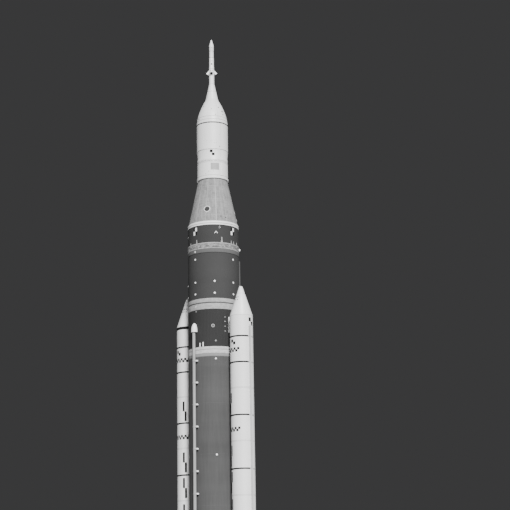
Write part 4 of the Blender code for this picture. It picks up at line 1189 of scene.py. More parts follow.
@dataclass
class CoreStage:
    """The core's tanks, skirts, closeout rings, engine section and boattail."""

    radius: float = 4.2
    ring_radius: float = 4.23
    skirt_top: float = 64.4
    skirt_base: float = 61.4
    oxygen_base: float = 50.3
    intertank_base: float = 44.2
    hydrogen_base: float = 10.4
    section_base: float = 5.1
    boattail_base: float = 3.0
    boattail_bend: float = 4.7
    boattail_radius: float = 4.05
    boattail_inner: float = 3.92
    thrust_posts: float = 1.8
    sides: int = 144
    seam: float = 0.003
    # Cable stubs above the skirt's ring: angle, height above the ring and width at the foot
    cable_stubs: Spots = (
        (-104.6, 0.35, 0.14), (-83.2, 0.6, 0.2), (-23.9, 0.9, 0.3), (1.1, 0.5, 0.18), (8.9, 0.45, 0.16),
        (21.8, 0.45, 0.2), (88.0, 0.6, 0.2), (140.0, 0.9, 0.3), (182.0, 0.5, 0.2))

    def build(self) -> None:
        """Builds the core from its forward skirt down."""
        self.forward_skirt()
        self.skirt_fittings()
        self.oxygen_tank()
        self.oxygen_islands()
        self.intertank()
        self.hydrogen_tank()
        self.engine_section()
        self.section_details()

    def skin(self, height: float) -> float:
        """Returns the core's radius."""
        return self.radius

    def skirt_skin(self, height: float) -> float:
        """Returns the forward skirt's radius."""
        return self.radius - 0.02

    def barrel(self, node: str, finish: Finish, top: float, base: float) -> None:
        """Builds the skin that stands for one of the core's cylinders."""
        skin = Shaper().solid([(self.radius, top), (self.radius, base + self.seam)], sides=self.sides)
        skin.piece(f"{node}_skin", finish, replaces=(node,))

    def checker(self, black: Shaper, white: Shaper, angle: float, height: float, cell: Point) -> None:
        """Adds a target of two dark and two pale cells on the forward skirt.

        Args:
            black: Shaper of the dark cells.
            white: Shaper of the pale cells.
            angle: Middle of the target.
            height: Middle of the target.
            cell: Width and height of one cell.
        """
        width = math.degrees(cell[0] / self.radius)
        for column in (0, 1):
            for row in (0, 1):
                shape = black if column != row else white
                first = angle + (column - 1) * width
                low = height + (row - 1) * cell[1]
                shape.plate(self.skirt_skin, (first, first + width), (low, low + cell[1]), 0.008)

    def pointer(self, shape: Shaper, angle: float, height: float) -> None:
        """Adds a small mark of two arms that meet at the top.

        Args:
            shape: Shaper of the mark.
            angle: Middle of the mark.
            height: Foot of its arms.
        """
        for step in range(4):
            low = height + 0.09 * step
            for turn in (-3.6 + 0.9 * step, 2.3 - 0.9 * step):
                shape.plate(self.skirt_skin, (angle + turn, angle + turn + 1.3), (low, low + 0.1), 0.008)

    def forward_skirt(self) -> None:
        """Builds the dark skirt with its targets and pointer marks."""
        outline = [(self.radius - 0.02, self.skirt_top), (self.radius - 0.02, self.skirt_base + self.seam)]
        skin = Shaper().solid(outline, sides=self.sides)
        skin.piece("forward_skirt_skin", Finishes.SKIRT, replaces=("core_forward_skirt",))
        black, white = Shaper(), Shaper()
        for angle in (-88.0, 5.5, 92.0, 180.0):
            self.checker(black, white, angle, 63.5, (0.39, 0.62))
        for angle in (-36.6, 53.0, 143.0, 233.0):
            self.pointer(white, angle, 62.9)
        for angle in (-28.4, 151.6):
            white.spot(self.skirt_skin, angle, 63.95, 0.31, 0.02, sides=20)
            black.spot(self.skirt_skin, angle, 63.95, 0.26, 0.03, sides=20)
        black.piece("forward_skirt_dark_marks", Finishes.BLACK)
        white.piece("forward_skirt_pale_marks", Finishes.WHITE_MARK)

    def skirt_fittings(self) -> None:
        """Builds the cable stubs above the ring and the fitting beside it."""
        stubs = Shaper()
        for angle, tall, width in self.cable_stubs:
            half = math.degrees(width / 2 / self.radius)
            for share, part in ((1.0, 0.35), (0.6, 1.0)):
                stubs.plate(self.skirt_skin, (angle - half * share, angle + half * share),
                            (self.skirt_base, self.skirt_base + tall * part), 0.045)
        stubs.piece("forward_skirt_stubs", Finishes.CLOSEOUT)
        fitting = Shaper()
        for angle in (46.0, 130.0):
            x, y = polar(angle, self.ring_radius + 0.07)
            fitting.box((0.24, 0.26, 0.4), x, y, 61.0, angle, bevel=0.05)
        fitting.piece("skirt_side_fittings", Finishes.WHITE_MARK)

    def rings(self, shape: Shaper, bands: Spots) -> None:
        """Adds closeout rings with softened edges.

        Args:
            shape: Shaper of the rings.
            bands: Low edge, high edge and how proud each ring is.
        """
        for low, high, proud in bands:
            radius = self.radius + proud
            edge = min(0.08, (high - low) / 4)
            outline = [(self.radius - 0.02, high), (radius - 0.012, high - 0.01), (radius, high - edge),
                       (radius, low + edge), (radius - 0.012, low + 0.01), (self.radius - 0.02, low)]
            shape.turned(outline, sides=self.sides, loop=True)

    def dots(self, shape: Shaper, rows: Spots) -> None:
        """Adds round instrument islands, each given by its angle, height and size."""
        for angle, height, size in rows:
            shape.spot(self.skin, angle, height, size, 0.03, sides=16)

    def oxygen_tank(self) -> None:
        """Builds the oxygen tank with its mottled upper rings and double lower ring."""
        self.barrel("oxygen_tank", Finishes.OXYGEN, self.skirt_base, self.oxygen_base)
        pale, mottled, lip = Shaper(), Shaper(), Shaper()
        self.rings(pale, ((61.2, 61.399, 0.03), (60.38, 60.55, 0.03)))
        self.rings(mottled, ((60.55, 61.2, 0.026),))
        self.rings(lip, ((59.75, 60.38, 0.022), (51.32, 51.42, 0.012)))
        mottled.piece("oxygen_upper_ring", Finishes.MOTTLED)
        lip.piece("oxygen_ring_lip", Finishes.LIP)
        self.rings(pale, ((51.45, 52.1, 0.022), (50.32, 51.28, 0.03)))
        pale.piece("oxygen_pale_rings", Finishes.CLOSEOUT)
        line = Shaper()
        self.rings(line, ((59.66, 59.74, 0.02), (51.36, 51.4, 0.018)))
        line.piece("oxygen_ring_lines", Finishes.INTERTANK)

    def oxygen_islands(self) -> None:
        """Builds the white instrument islands and the pads on the mottled ring."""
        islands = Shaper()
        rows = [(-88.0, 60.05, 0.26), (-87.0, 50.9, 0.2)]
        for step, angle in enumerate((-88.0, -41.0, 6.0, 50.0, 95.0, 140.0, 185.0, 230.0)):
            heights = (54.9, 52.95) if step % 2 else (58.75, 54.9, 52.95)
            rows += [(angle, height, 0.32) for height in heights]
        self.dots(islands, rows)
        islands.piece("oxygen_tank_islands", Finishes.WHITE_MARK)
        pads = Shaper()
        for index in range(30):
            angle = 12.0 * index + 4.0 + 3.0 * (index * 7 % 5) / 5
            low = 60.62 + 0.1 * (index * 3 % 4)
            pads.plate(lambda height: self.radius + 0.026, (angle, angle + 2.4 + index % 3),
                       (low, low + 0.22), 0.012, sunk=0.05)
        pads.piece("upper_ring_pads", Finishes.CLOSEOUT)

    def intertank(self) -> None:
        """Builds the ribbed intertank with its fairings, islands and vents."""
        self.barrel("intertank", Finishes.INTERTANK, self.oxygen_base, self.intertank_base)
        fairings = Shaper()
        for angle in (-7.6, 172.4):
            fairings.plate(self.skin, (angle - 2.2, angle + 2.2), (46.5, 49.05), 0.03, columns=4)
        for angle, high in ((-76.2, 44.85), (-68.4, 44.95), (100.0, 44.85), (108.0, 44.95)):
            fairings.plate(self.skin, (angle - 1.2, angle + 1.2), (44.2, high), 0.03)
        fairings.piece("intertank_fairings", Finishes.WHITE_MARK)
        islands = Shaper()
        rows = ((-86.0, 47.85, 0.2), (-86.5, 50.05, 0.2), (-39.8, 45.1, 0.28), (140.0, 45.1, 0.28))
        self.dots(islands, rows)
        for angle in (-18.4, 161.6):
            for height in (49.0, 48.3, 47.5, 46.7):
                islands.plate(self.skin, (angle - 1.6, angle + 1.6), (height - 0.06, height + 0.06), 0.02)
        islands.piece("intertank_islands", Finishes.CLOSEOUT)
        vents, covers = Shaper(), Shaper()
        for angle in (-45.6, 134.4):
            vents.spot(self.skin, angle, 47.55, 0.56, 0.025, sides=32)
            covers.spot(self.skin, angle, 47.55, 0.34, 0.028, sides=32)
            vents.spot(self.skin, angle, 47.55, 0.12, 0.032, sides=16)
        vents.piece("vent_rims", Finishes.CLOSEOUT)
        covers.piece("vent_covers", Finishes.INTERTANK)

    def hydrogen_tank(self) -> None:
        """Builds the long hydrogen tank with its upper rings and islands."""
        self.barrel("hydrogen_tank", Finishes.HYDROGEN, self.intertank_base, self.hydrogen_base)
        ring, lip = Shaper(), Shaper()
        self.rings(ring, ((43.75, 44.19, 0.022), (43.1, 43.7, 0.03)))
        ring.piece("hydrogen_upper_rings", Finishes.WHITE_RING)
        self.rings(lip, ((42.62, 43.08, 0.03), (43.7, 43.76, 0.012)))
        lip.piece("hydrogen_ring_lips", Finishes.SMOOTH_RING)
        lines = Shaper()
        bands = ((42.5, 42.6, 0.015), (27.0, 27.04, 0.004), (35.1, 35.14, 0.004), (19.0, 19.04, 0.004))
        self.rings(lines, bands)
        lines.piece("hydrogen_tank_lines", Finishes.LIP)
        islands = Shaper()
        heights = (42.2, 26.9, 12.6)
        self.dots(islands, [(-40.0 + 90.0 * step, height, 0.3) for step in range(4) for height in heights])
        islands.piece("hydrogen_tank_islands", Finishes.WHITE_MARK)

    def section_skin(self, height: float) -> float:
        """Returns the radius of the engine section and boattail."""
        share = max(self.boattail_bend - height, 0.0) / (self.boattail_bend - self.boattail_base)
        return self.radius - (self.radius - self.boattail_radius) * share

    def engine_section(self) -> None:
        """Builds the engine section with its ring and thrust posts, and the boattail."""
        outline = [(self.ring_radius, self.hydrogen_base), (self.ring_radius, 9.9), (self.radius, 9.8),
                   (self.radius, self.section_base)]
        section = Shaper().solid(outline, sides=self.sides)
        for x in (-self.thrust_posts, self.thrust_posts):
            for y in (-self.thrust_posts, self.thrust_posts):
                section.rod((x, y, 4.773), (x, y, 5.3), 0.12, 0.3, sides=32)
        section.piece("engine_section_skin", Finishes.ENGINE_SECTION, replaces=("engine_section",))
        top = self.section_base - self.seam
        outline = [(self.radius, top), (self.radius, self.boattail_bend),
                   (self.boattail_radius, self.boattail_base), (self.boattail_inner, self.boattail_base),
                   (self.boattail_inner, top)]
        boattail = Shaper().turned(outline, sides=self.sides, loop=True)
        boattail.piece("boattail_skin", Finishes.ENGINE_SECTION, replaces=("boattail",))

    def section_details(self) -> None:
        """Builds the engine section's pale ring, doors and seams."""
        ring = Shaper().band(self.radius, 9.8, self.hydrogen_base - 0.02, 0.03, sides=self.sides)
        ring.piece("engine_section_ring", Finishes.CLOSEOUT)
        doors = Shaper()
        for angle in (-60.0, -20.0, 30.0, 110.0, 150.0, 200.0, 240.0):
            doors.plate(self.skin, (angle - 4.0, angle + 4.0), (6.6, 7.7), 0.015, columns=4)
        doors.piece("engine_section_doors", Finishes.LIP)
        seams = Shaper()
        for height in (5.13, 4.66, 3.06):
            radius = self.section_skin(height) - 0.004
            seams.band(radius, height - 0.03, height + 0.03, 0.008, sides=self.sides)
        for index in range(16):
            angle = 22.5 * index + 6.0
            seams.plate(self.section_skin, (angle - 0.25, angle + 0.25), (3.1, 4.6), 0.006, rows=3)
        seams.piece("engine_section_seams", Finishes.LIP)


@dataclass
class OutsideLines:
    """The propellant feed lines with their fairings and brackets, and the systems tunnel."""

    offset: float = 4.5
    radius: float = 0.25
    top: float = 47.0
    bottom: float = 8.8
    spacing: float = 3.52
    first_bracket: float = 42.0
    brackets: int = 9
    flange_proud: float = 0.04
    flange_tall: float = 0.2
    bracket_size: Sequence[float] = (0.66, 0.4, 0.26)
    bracket_shift: float = 0.24
    fairing_radius: float = 0.52
    fairing_length: float = 1.5
    fairing_sunk: float = 0.13
    fairing_overlap: float = 0.3
    tunnel_angle: float = 63.0
    tunnel_top: float = 59.4
    tunnel_bottom: float = 9.0
    tunnel_width: float = 0.6
    tunnel_depth: float = 0.28
    tunnel_foot: float = 4.233

    def build(self) -> None:
        """Builds both feed lines and the tunnel."""
        for label, side in (("front", -1.0), ("rear", 1.0)):
            self.line(label, side)
            self.fairings(label, side)
            self.clamps(label, side)
        self.tunnel()

    def bracket_heights(self) -> list[float]:
        """Returns the heights of the brackets."""
        return [self.first_bracket - self.spacing * index for index in range(self.brackets)]

    def line(self, label: str, side: float) -> None:
        """Builds a line with its flanges.

        Args:
            label: Name of the line.
            side: Sign of its Y.
        """
        profile = [(self.radius, self.top)]
        proud = self.radius + self.flange_proud
        for height in self.bracket_heights():
            high, low = height + self.flange_tall / 2, height - self.flange_tall / 2
            profile += [(self.radius, high), (proud, high - 0.02), (proud, low + 0.02), (self.radius, low)]
        profile.append((self.radius, self.bottom))
        Shaper().solid(profile, (0.0, side * self.offset), 40).piece(
            f"feedline_{label}_pipe", Finishes.COVER, replaces=(f"feedline_{label}",))

    def fairings(self, label: str, side: float) -> None:
        """Builds the bullet-shaped fairings at both ends of a line, each with a black ring on its flat end
        as painted shade.

        Args:
            label: Name of the line.
            side: Sign of its Y.
        """
        skins, painted_shade_rings = Shaper(), Shaper()
        centre = (0.0, side * (self.offset - self.fairing_sunk))
        for wide, way in ((self.top - self.fairing_overlap, 1.0),
                          (self.bottom + self.fairing_overlap, -1.0)):
            steps = [index / 12 for index in range(12)]
            profile = [(self.fairing_radius * (1.0 - step**2.6) ** 0.62,
                        wide + way * step * self.fairing_length)
                       for step in steps]
            profile += [(0.06, wide + way * (self.fairing_length - 0.01)),
                        (0.0, wide + way * self.fairing_length)]
            skins.turned([(0.0, wide), *profile], centre, 48)
            # A black ring on the fairing's flat end, around the pipe: painted shade where the fairing meets
            # the pipe.
            start, end = wide - way * 0.006, wide + way * 0.02
            outer, inner = self.fairing_radius - 0.05, self.radius - 0.02
            ring = [(outer, start), (outer, end), (inner, end), (inner, start)]
            painted_shade_rings.turned(ring, centre, 48, loop=True)
        skins.piece(f"feedline_{label}_fairings", Finishes.WHITE_MARK)
        painted_shade_rings.piece(f"feedline_{label}_fairing_painted_shade_rings", Finishes.BLACK)

    def clamps(self, label: str, side: float) -> None:
        """Builds the brackets that hold a line to the core, with black pads under them that are painted
        shadows of the brackets.

        Args:
            label: Name of the line.
            side: Sign of its Y.
        """
        arms, pads, bolts = Shaper(), Shaper(), Shaper()
        width, depth, tall = self.bracket_size
        y = side * (self.offset - depth / 2)
        for height in self.bracket_heights():
            arms.box((width, depth, tall), self.bracket_shift, side * 4.3, height, bevel=0.05)
            # The black pads are not parts: they are painted shadows that the brackets cast on the core.
            pads.box((0.3, 0.16, 0.2), self.bracket_shift + 0.12, side * 4.24, height - 0.22, bevel=0.02)
            bolts.rod((0.46, y, height), (0.46, side * (4.3 + depth / 2 + 0.02), height), 0.05, sides=6)
        arms.piece(f"feedline_{label}_arms", Finishes.WHITE_MARK)
        pads.piece(f"feedline_{label}_pads", Finishes.BLACK)
        bolts.piece(f"feedline_{label}_bolts", Finishes.BRACKET)

    def tunnel(self) -> None:
        """Builds the tunnel's softened cover with its joints."""
        x, y = polar(self.tunnel_angle, self.tunnel_foot + self.tunnel_depth / 2)
        middle, tall = (self.tunnel_top + self.tunnel_bottom) / 2, self.tunnel_top - self.tunnel_bottom
        size = (self.tunnel_depth, self.tunnel_width, tall)
        cover = Shaper().box(size, x, y, middle, self.tunnel_angle, bevel=0.07)
        cover.piece("systems_tunnel_cover", Finishes.TUNNEL, replaces=("systems_tunnel",))
        joints = Shaper()
        count = 20
        for index in range(count):
            height = self.tunnel_bottom + tall * (index + 0.5) / count
            joints.box((0.292, 0.612, 0.06), x, y, height, self.tunnel_angle, bevel=0.02)
        joints.piece("tunnel_joints", Finishes.LIP)


@dataclass
class BaseShield:
    """The quilted base between the engines."""

    bottom: float = 3.35
    plate_radius: float = 3.914
    gimbal_height: float = 4.57
    dome_radius: float = 1.583
    dome_inner: float = 1.517
    dome_angles: Point = (31.0, 41.0)
    centres: tuple[Point, ...] = ((-1.8, -1.8), (1.8, -1.8), (-1.8, 1.8), (1.8, 1.8))

    def build(self) -> None:
        """Builds the dome collars and the bolts."""
        self.collars()
        self.bolts()

    def collars(self) -> None:
        """Builds the rounded collar about each engine's opening."""
        collars = Shaper()
        for centre in self.centres:
            outer = arc(self.dome_radius, self.gimbal_height, self.dome_angles[1], self.dome_angles[0], 6)
            inner = arc(self.dome_inner, self.gimbal_height, self.dome_angles[0], self.dome_angles[1], 6)
            collars.turned([*outer, *inner], centre, 64, loop=True)
        collars.piece("base_shield_collars", Finishes.CURTAIN)

    def bolts(self) -> None:
        """Builds the bolt rings about the collars and along the plate's rim."""
        bolts = Shaper()
        low, high = self.bottom - 0.03, self.bottom + 0.02
        for x, y in self.centres:
            for index in range(20):
                spot = polar(18.0 * index, 1.3)
                bolts.rod((x + spot[0], y + spot[1], high), (x + spot[0], y + spot[1], low), 0.035, sides=6)
        for index in range(48):
            spot = polar(7.5 * index, self.plate_radius - 0.09)
            bolts.rod((*spot, high), (*spot, low), 0.03, sides=6)
        bolts.piece("base_shield_bolts", Finishes.BRACKET)


@dataclass
class MainEngine:
    """One main engine with its bell, cap, bands and pipes."""

    name: str
    x: float
    y: float
    gimbal_height: float = 4.57
    throat_depth: float = 1.2
    throat_radius: float = 0.13
    length: float = 3.05
    exit_radius: float = 1.15
    wall: float = 0.05
    power: float = 0.6
    stations: int = 22
    cap_radius: float = 1.45
    cap_wall: float = 0.06
    cap_angle: float = 48.5
    band_depths: Numbers = (1.85, 2.2, 2.55, 2.9, 3.25, 3.6, 3.92)
    pipe_depths: Numbers = (1.75, 2.2, 2.7, 3.2, 3.7, 4.05)
    pipe_angles: Numbers = (20.0, 140.0, 260.0)

    def inner(self, depth: float) -> float:
        """Returns the bell's inner radius at a depth below the gimbal."""
        run = min(max((depth - self.throat_depth) / self.length, 0.0), 1.0)
        return self.throat_radius + (self.exit_radius - self.throat_radius) * run**self.power

    def outer_at(self, height: float) -> float:
        """Returns the bell's outer radius at a height."""
        return self.inner(self.gimbal_height - height) + self.wall

    def build(self) -> None:
        """Builds the bell and everything that swings with it."""
        centre = (self.x, self.y)
        last = self.throat_depth + self.length
        shares = [(step / self.stations) ** 1.6 for step in range(self.stations + 1)]
        depths = [self.throat_depth + self.length * share for share in shares]
        inside = [(self.inner(depth), self.gimbal_height - depth) for depth in depths]
        cap = [*arc(self.cap_radius - self.cap_wall, self.gimbal_height, 17.0, self.cap_angle, 8),
               *arc(self.cap_radius, self.gimbal_height, self.cap_angle, 16.8, 8)]
        outer = [(radius + self.wall, height) for radius, height in inside
                 if height < self.gimbal_height - 1.6]
        head = self.gimbal_height - 1.05
        outline = [(0.0, head), (0.3, head), *cap, *outer, *reversed(inside),
                   (0.0, self.gimbal_height - self.throat_depth)]
        Shaper().turned(outline, centre, 72).piece(
            f"{self.name}_bell_wall", bell_wall(centre, self.name), self.name, (f"{self.name}_bell",))
        bands = Shaper()
        for depth in self.band_depths:
            height = self.gimbal_height - depth
            bands.band(self.outer_at(height), height - 0.035, height + 0.035, 0.035, centre, 72)
        height = self.gimbal_height - last
        rim, lip = self.exit_radius + self.wall, self.exit_radius + 0.02
        outline = [(rim - 0.005, height + 0.14), (rim, height + 0.12), (rim, height + 0.02),
                   (lip, height + 0.004), (lip, height + 0.14)]
        bands.turned(outline, centre, 72, loop=True)
        bands.piece(f"{self.name}_bell_bands", Finishes.MACHINED, self.name)
        pipes = Shaper()
        for angle in self.pipe_angles:
            points = []
            for depth in self.pipe_depths:
                radius = self.inner(depth) + self.wall + 0.055
                spot = polar(angle, radius)
                points.append((self.x + spot[0], self.y + spot[1], self.gimbal_height - depth))
            pipes.pipe(points, 0.035, 8)
        pipes.piece(f"{self.name}_drain_pipes", Finishes.PIPE, self.name)


@dataclass
class Booster:
    """One side booster from its nose to the feet of its skirt."""

    side: Side
    offset: float = 6.36
    radius: float = 1.855
    tip: float = 53.87
    tip_radius: float = 0.33
    half_angle: float = 18.2
    nose_base: float = 48.85
    ring_radius: float = 1.885
    joints: Numbers = (45.54, 41.37, 32.97, 24.57, 16.17)
    joint_tall: float = 0.22
    skirt_top: float = 3.8
    raceway_top: float = 47.4
    raceway_bottom: float = 4.2
    raceway_size: Point = (0.13, 0.36)
    fitting_height: float = 47.0
    fitting_edges: Point = (4.16, 4.655)
    attach_height: float = 12.0
    attach_radius: float = 2.05
    attach_inner: float = 1.858
    attach_tall: float = 0.36
    strut_radius: float = 0.11
    skirt_top_radius: float = 1.93
    flare: float = 0.715
    flare_tall: float = 2.2
    skirt_base: float = 1.6
    rim_radii: Point = (2.645, 2.515)
    skirt_rings: Point = (3.45, 2.85)
    skirt_wall: float = 0.13
    curtain_heights: Point = (2.15, 2.25)
    curtain_hole: float = 1.45
    foot_radius: float = 2.62
    foot_angles: Numbers = (45.0, 135.0, 225.0, 315.0)
    factory_joints: Numbers = (37.17, 28.77, 20.37, 12.6, 8.4, 4.4)
    zigzag_heights: Point = (43.25, 30.6)
    bar_tops: Numbers = (36.4, 28.1, 24.0, 19.8, 15.6)
    bar_length: float = 1.62
    sides: int = 72
    seam: float = 0.003
    name: str = field(init=False)
    x: float = field(init=False)

    def __post_init__(self) -> None:
        """Names the booster and places its axis."""
        self.name = f"booster_{self.side.name.lower()}"
        self.x = self.side.value * self.offset

    @property
    def centre(self) -> Point:
        """Returns the booster's axis."""
        return self.x, 0.0

    @property
    def outboard(self) -> float:
        """Returns the angle that points away from the core."""
        return 0.0 if self.side is Side.RIGHT else 180.0

    def inboard(self, turn: float) -> float:
        """Returns the angle that lies a turn from the front towards the core."""
        return -90.0 - turn * self.side.value

    def case(self, height: float) -> float:
        """Returns the motor case's radius."""
        return self.radius

    def skin(self, height: float) -> float:
        """Computes the booster's radius, nose included.

        Args:
            height: The height.

        Returns:
            The radius.
        """
        cone_top = self.tip - self.tip_radius + self.tip_radius * math.sin(math.radians(self.half_angle))
        start = self.tip_radius * math.cos(math.radians(self.half_angle))
        slope = math.tan(math.radians(self.half_angle))
        return min(self.radius, start + max(cone_top - height, 0.0) * slope)

    def build(self) -> None:
        """Builds the booster's skins, rings and marks."""
        self.nose()
        self.forward_skirt()
        self.motor()
        self.marks()
        self.bars()
        self.raceway()
        self.attach_ring()
        self.struts()
        self.aft_skirt()
        self.skirt_details()

    def nose(self) -> None:
        """Builds the rounded nose cone with its seams and small covers."""
        tip = arc(self.tip_radius, self.tip - self.tip_radius, 180.0, 90.0 + self.half_angle, 8)
        cone_base = tip[-1][1] - (self.radius - tip[-1][0]) / math.tan(math.radians(self.half_angle))
        base = self.nose_base + self.seam
        profile = [*tip, (self.radius, cone_base), (self.radius, base), (0.0, base)]
        Shaper().turned(profile, self.centre, self.sides).piece(
            f"{self.name}_nose_cone", Finishes.BOOSTER, replaces=(f"{self.name}_nose",))
        seams = Shaper()
        for height in (self.nose_base + 0.03, 52.6):
            radius = self.skin(height) - 0.004
            seams.band(radius, height - 0.03, height + 0.03, 0.008, self.centre, self.sides)
        seams.piece(f"{self.name}_nose_seams", Finishes.FAINT)
        covers = Shaper()
        for turn in (-14.0, 8.0, 30.0):
            for height in (51.95, 51.5):
                covers.spot(self.skin, self.inboard(turn), height, 0.19, 0.012, self.centre)
        covers.piece(f"{self.name}_nose_covers", Finishes.BLACK)

    def forward_skirt(self) -> None:
        """Builds the cylinder under the nose with the fitting that carries the core."""
        skirt = Shaper().solid([(self.radius, self.nose_base), (self.radius, self.joints[0] + self.seam)],
                               self.centre, self.sides)
        near, far = self.fitting_edges
        x = self.side.value * (near + far) / 2
        skirt.box((far - near, 0.55, 0.55), x, 0.0, self.fitting_height, bevel=0.05)
        skirt.piece(f"{self.name}_forward_skirt_case", Finishes.BOOSTER,
                    replaces=(f"{self.name}_forward_skirt",))
        if self.side is Side.LEFT:
            band = Shaper().band(self.radius, 48.4, 48.85, 0.006, self.centre, self.sides)
            band.piece(f"{self.name}_dark_band", Finishes.BLACK)

    def motor(self) -> None:
        """Builds the motor's cylinders, with dark field joints and faint factory joints."""
        bottoms = (*self.joints[1:], self.skirt_top)
        for number, (top, bottom) in enumerate(zip(self.joints, bottoms), start=1):
            node = f"{self.name}_segment_{number}"
            outline = [(self.radius, top), (self.radius, bottom + self.seam)]
            case = Shaper().solid(outline, self.centre, self.sides)
            case.piece(f"{node}_case", Finishes.BOOSTER, replaces=(node,))
        gap = math.degrees(0.3 / self.radius)
        before, after = (gap, 55.0) if self.side is Side.LEFT else (55.0, gap)
        dark, rest = Shaper(), Shaper()
        for height in self.joints:
            heights = (height - self.joint_tall, height)
            dark.plate(self.case, (self.outboard + before, self.outboard + 360.0 - after), heights, 0.03,
                       centre=self.centre, columns=64)
            rest.plate(self.case, (self.outboard - after, self.outboard + before), heights, 0.028,
                       centre=self.centre, columns=16)
        dark.piece(f"{self.name}_field_joints", Finishes.BLACK)
        rest.piece(f"{self.name}_field_joint_backs", Finishes.FAINT)
        pale = Shaper()
        for joint in self.factory_joints:
            for height in (joint - 0.07, joint + 0.07):
                pale.band(self.radius, height - 0.02, height + 0.02, 0.01, self.centre, self.sides)
        pale.piece(f"{self.name}_factory_joints", Finishes.FAINT)

    def mark(self, shape: Shaper, angles: Point, heights: Point) -> None:
        """Adds one painted mark.

        Args:
            shape: Shaper of the marks.
            angles: Its two upright edges, in any order.
            heights: Its low and high edges.
        """
        shape.plate(self.skin, (min(angles), max(angles)), heights, 0.006, centre=self.centre, columns=2)

    def zigzag(self, shape: Shaper, height: float, first: float, cells: int, cell: float) -> None:
        """Adds two rows of squares that alternate.

        Args:
            shape: Shaper of the dark squares.
            height: Middle of the two rows.
            first: Inboard turn of the first column.
            cells: Number of columns.
            cell: Side of one square.
        """
        width = math.degrees(cell / self.radius)
        for column in range(cells):
            low = height - cell if column % 2 else height
            start = self.inboard(first + column * width - 0.6)
            end = self.inboard(first + (column + 1) * width + 0.6)
            self.mark(shape, (start, end), (low - 0.02, low + cell + 0.02))

    def marks(self) -> None:
        """Builds the black camera targets: the diagonal squares and the zigzag rows."""
        black = Shaper()
        width = math.degrees(0.45 / self.radius)
        first = -104.5 if self.side is Side.RIGHT else -112.0
        for step, height in enumerate((44.7, 44.32)):
            start = first + step * width
            self.mark(black, (start, start + width), (height - 0.23, height + 0.23))
        for height in self.zigzag_heights:
            self.zigzag(black, height, -34.0, 9, 0.33)
        for turn, height in ((3.0, 48.15), (17.5, 47.5)):
            angle = turn if self.side is Side.RIGHT else 180.0 - turn
            self.mark(black, (angle - 8.0, angle + 8.0), (height - 0.32, height + 0.32))
        black.piece(f"{self.name}_dark_marks", Finishes.BLACK)

    def bars(self) -> None:
        """Builds the upright black bars that step along two lines."""
        black = Shaper()
        width = math.degrees(0.34 / self.radius)
        for top in self.bar_tops:
            for step in (0, 1):
                turn = 17.2 + step * width
                high = top - step * self.bar_length
                angles = (self.inboard(turn), self.inboard(turn + width))
                self.mark(black, angles, (high - self.bar_length, high))
        black.piece(f"{self.name}_dark_bars", Finishes.BLACK)

    def raceway(self) -> None:
        """Builds the raceway's softened cover, its joints and its upper cap."""
        depth, width = self.raceway_size
        x = self.x + self.side.value * (self.ring_radius + self.seam + depth / 2)
        middle, tall = (self.raceway_top + self.raceway_bottom) / 2, self.raceway_top - self.raceway_bottom
        cover = Shaper().box((depth, width, tall), x, 0.0, middle, bevel=0.03)
        cover.piece(f"{self.name}_raceway_cover", Finishes.CORK, replaces=(f"{self.name}_raceway",))
        joints = Shaper()
        count = 22
        for index in range(count):
            height = self.raceway_bottom + tall * (index + 0.5) / count
            joints.box((depth - 0.001, width + 0.012, 0.06), x, 0.0, height, bevel=0.015)
        joints.piece(f"{self.name}_raceway_joints", Finishes.FAINT)
        cap = Shaper().box((depth - 0.001, width + 0.14, 0.5), x, 0.0, self.raceway_top - 0.2, bevel=0.05)
        cap.piece(f"{self.name}_raceway_cap", Finishes.WHITE_MARK)

    def attach_ring(self) -> None:
        """Builds the ring that carries the struts, open where the raceway passes, with its bolts."""
        gap = math.degrees(0.23 / self.attach_radius)
        proud = self.attach_radius - self.attach_inner
        low, high = self.attach_height - self.attach_tall / 2, self.attach_height + self.attach_tall / 2
        ring = Shaper().plate(lambda height: self.attach_inner,
                              (self.outboard + gap, self.outboard + 360.0 - gap),
                              (low, high), proud, 0.0, self.centre, 72)
        ring.piece(f"{self.name}_attach_ring_body", Finishes.STRUT, replaces=(f"{self.name}_attach_ring",))
        bolts = Shaper()
        for index in range(36):
            angle = 10.0 * index + 5.0
            if math.cos(math.radians(angle - self.outboard)) > 0.97:
                continue
            bolts.spot(lambda height: self.attach_radius, angle, self.attach_height, 0.1, 0.0,
                       self.centre, 6)
        bolts.piece(f"{self.name}_attach_bolts", Finishes.BRACKET)

    def struts(self) -> None:
        """Builds the three struts to the core with their end sleeves."""
        struts, sleeves = Shaper(), Shaper()
        side = self.side.value
        across, along = polar(62.0, 1.93)
        reach, spread = polar(36.0, 4.05)
        for way, start, end in ((-1.0, 12.0, 12.0), (1.0, 12.02, 12.02), (1.0, 11.96, 11.0)):
            first = Vector((self.x - side * across, way * along, start))
            last = Vector((side * reach, way * spread, end))
            struts.rod(first, last, self.strut_radius, sides=24)
            run = last - first
            for share in (0.3, 0.62):
                sleeves.rod(first + run * share, first + run * (share + 0.07), self.strut_radius + 0.02,
                            sides=24)
        struts.piece(f"{self.name}_struts", Finishes.STRUT)
        sleeves.piece(f"{self.name}_strut_sleeves", Finishes.BRACKET)

    def skirt_skin(self, height: float) -> float:
        """Returns the flared skirt's radius at a height."""
        return self.skirt_top_radius + self.flare * (self.skirt_top - height) / self.flare_tall

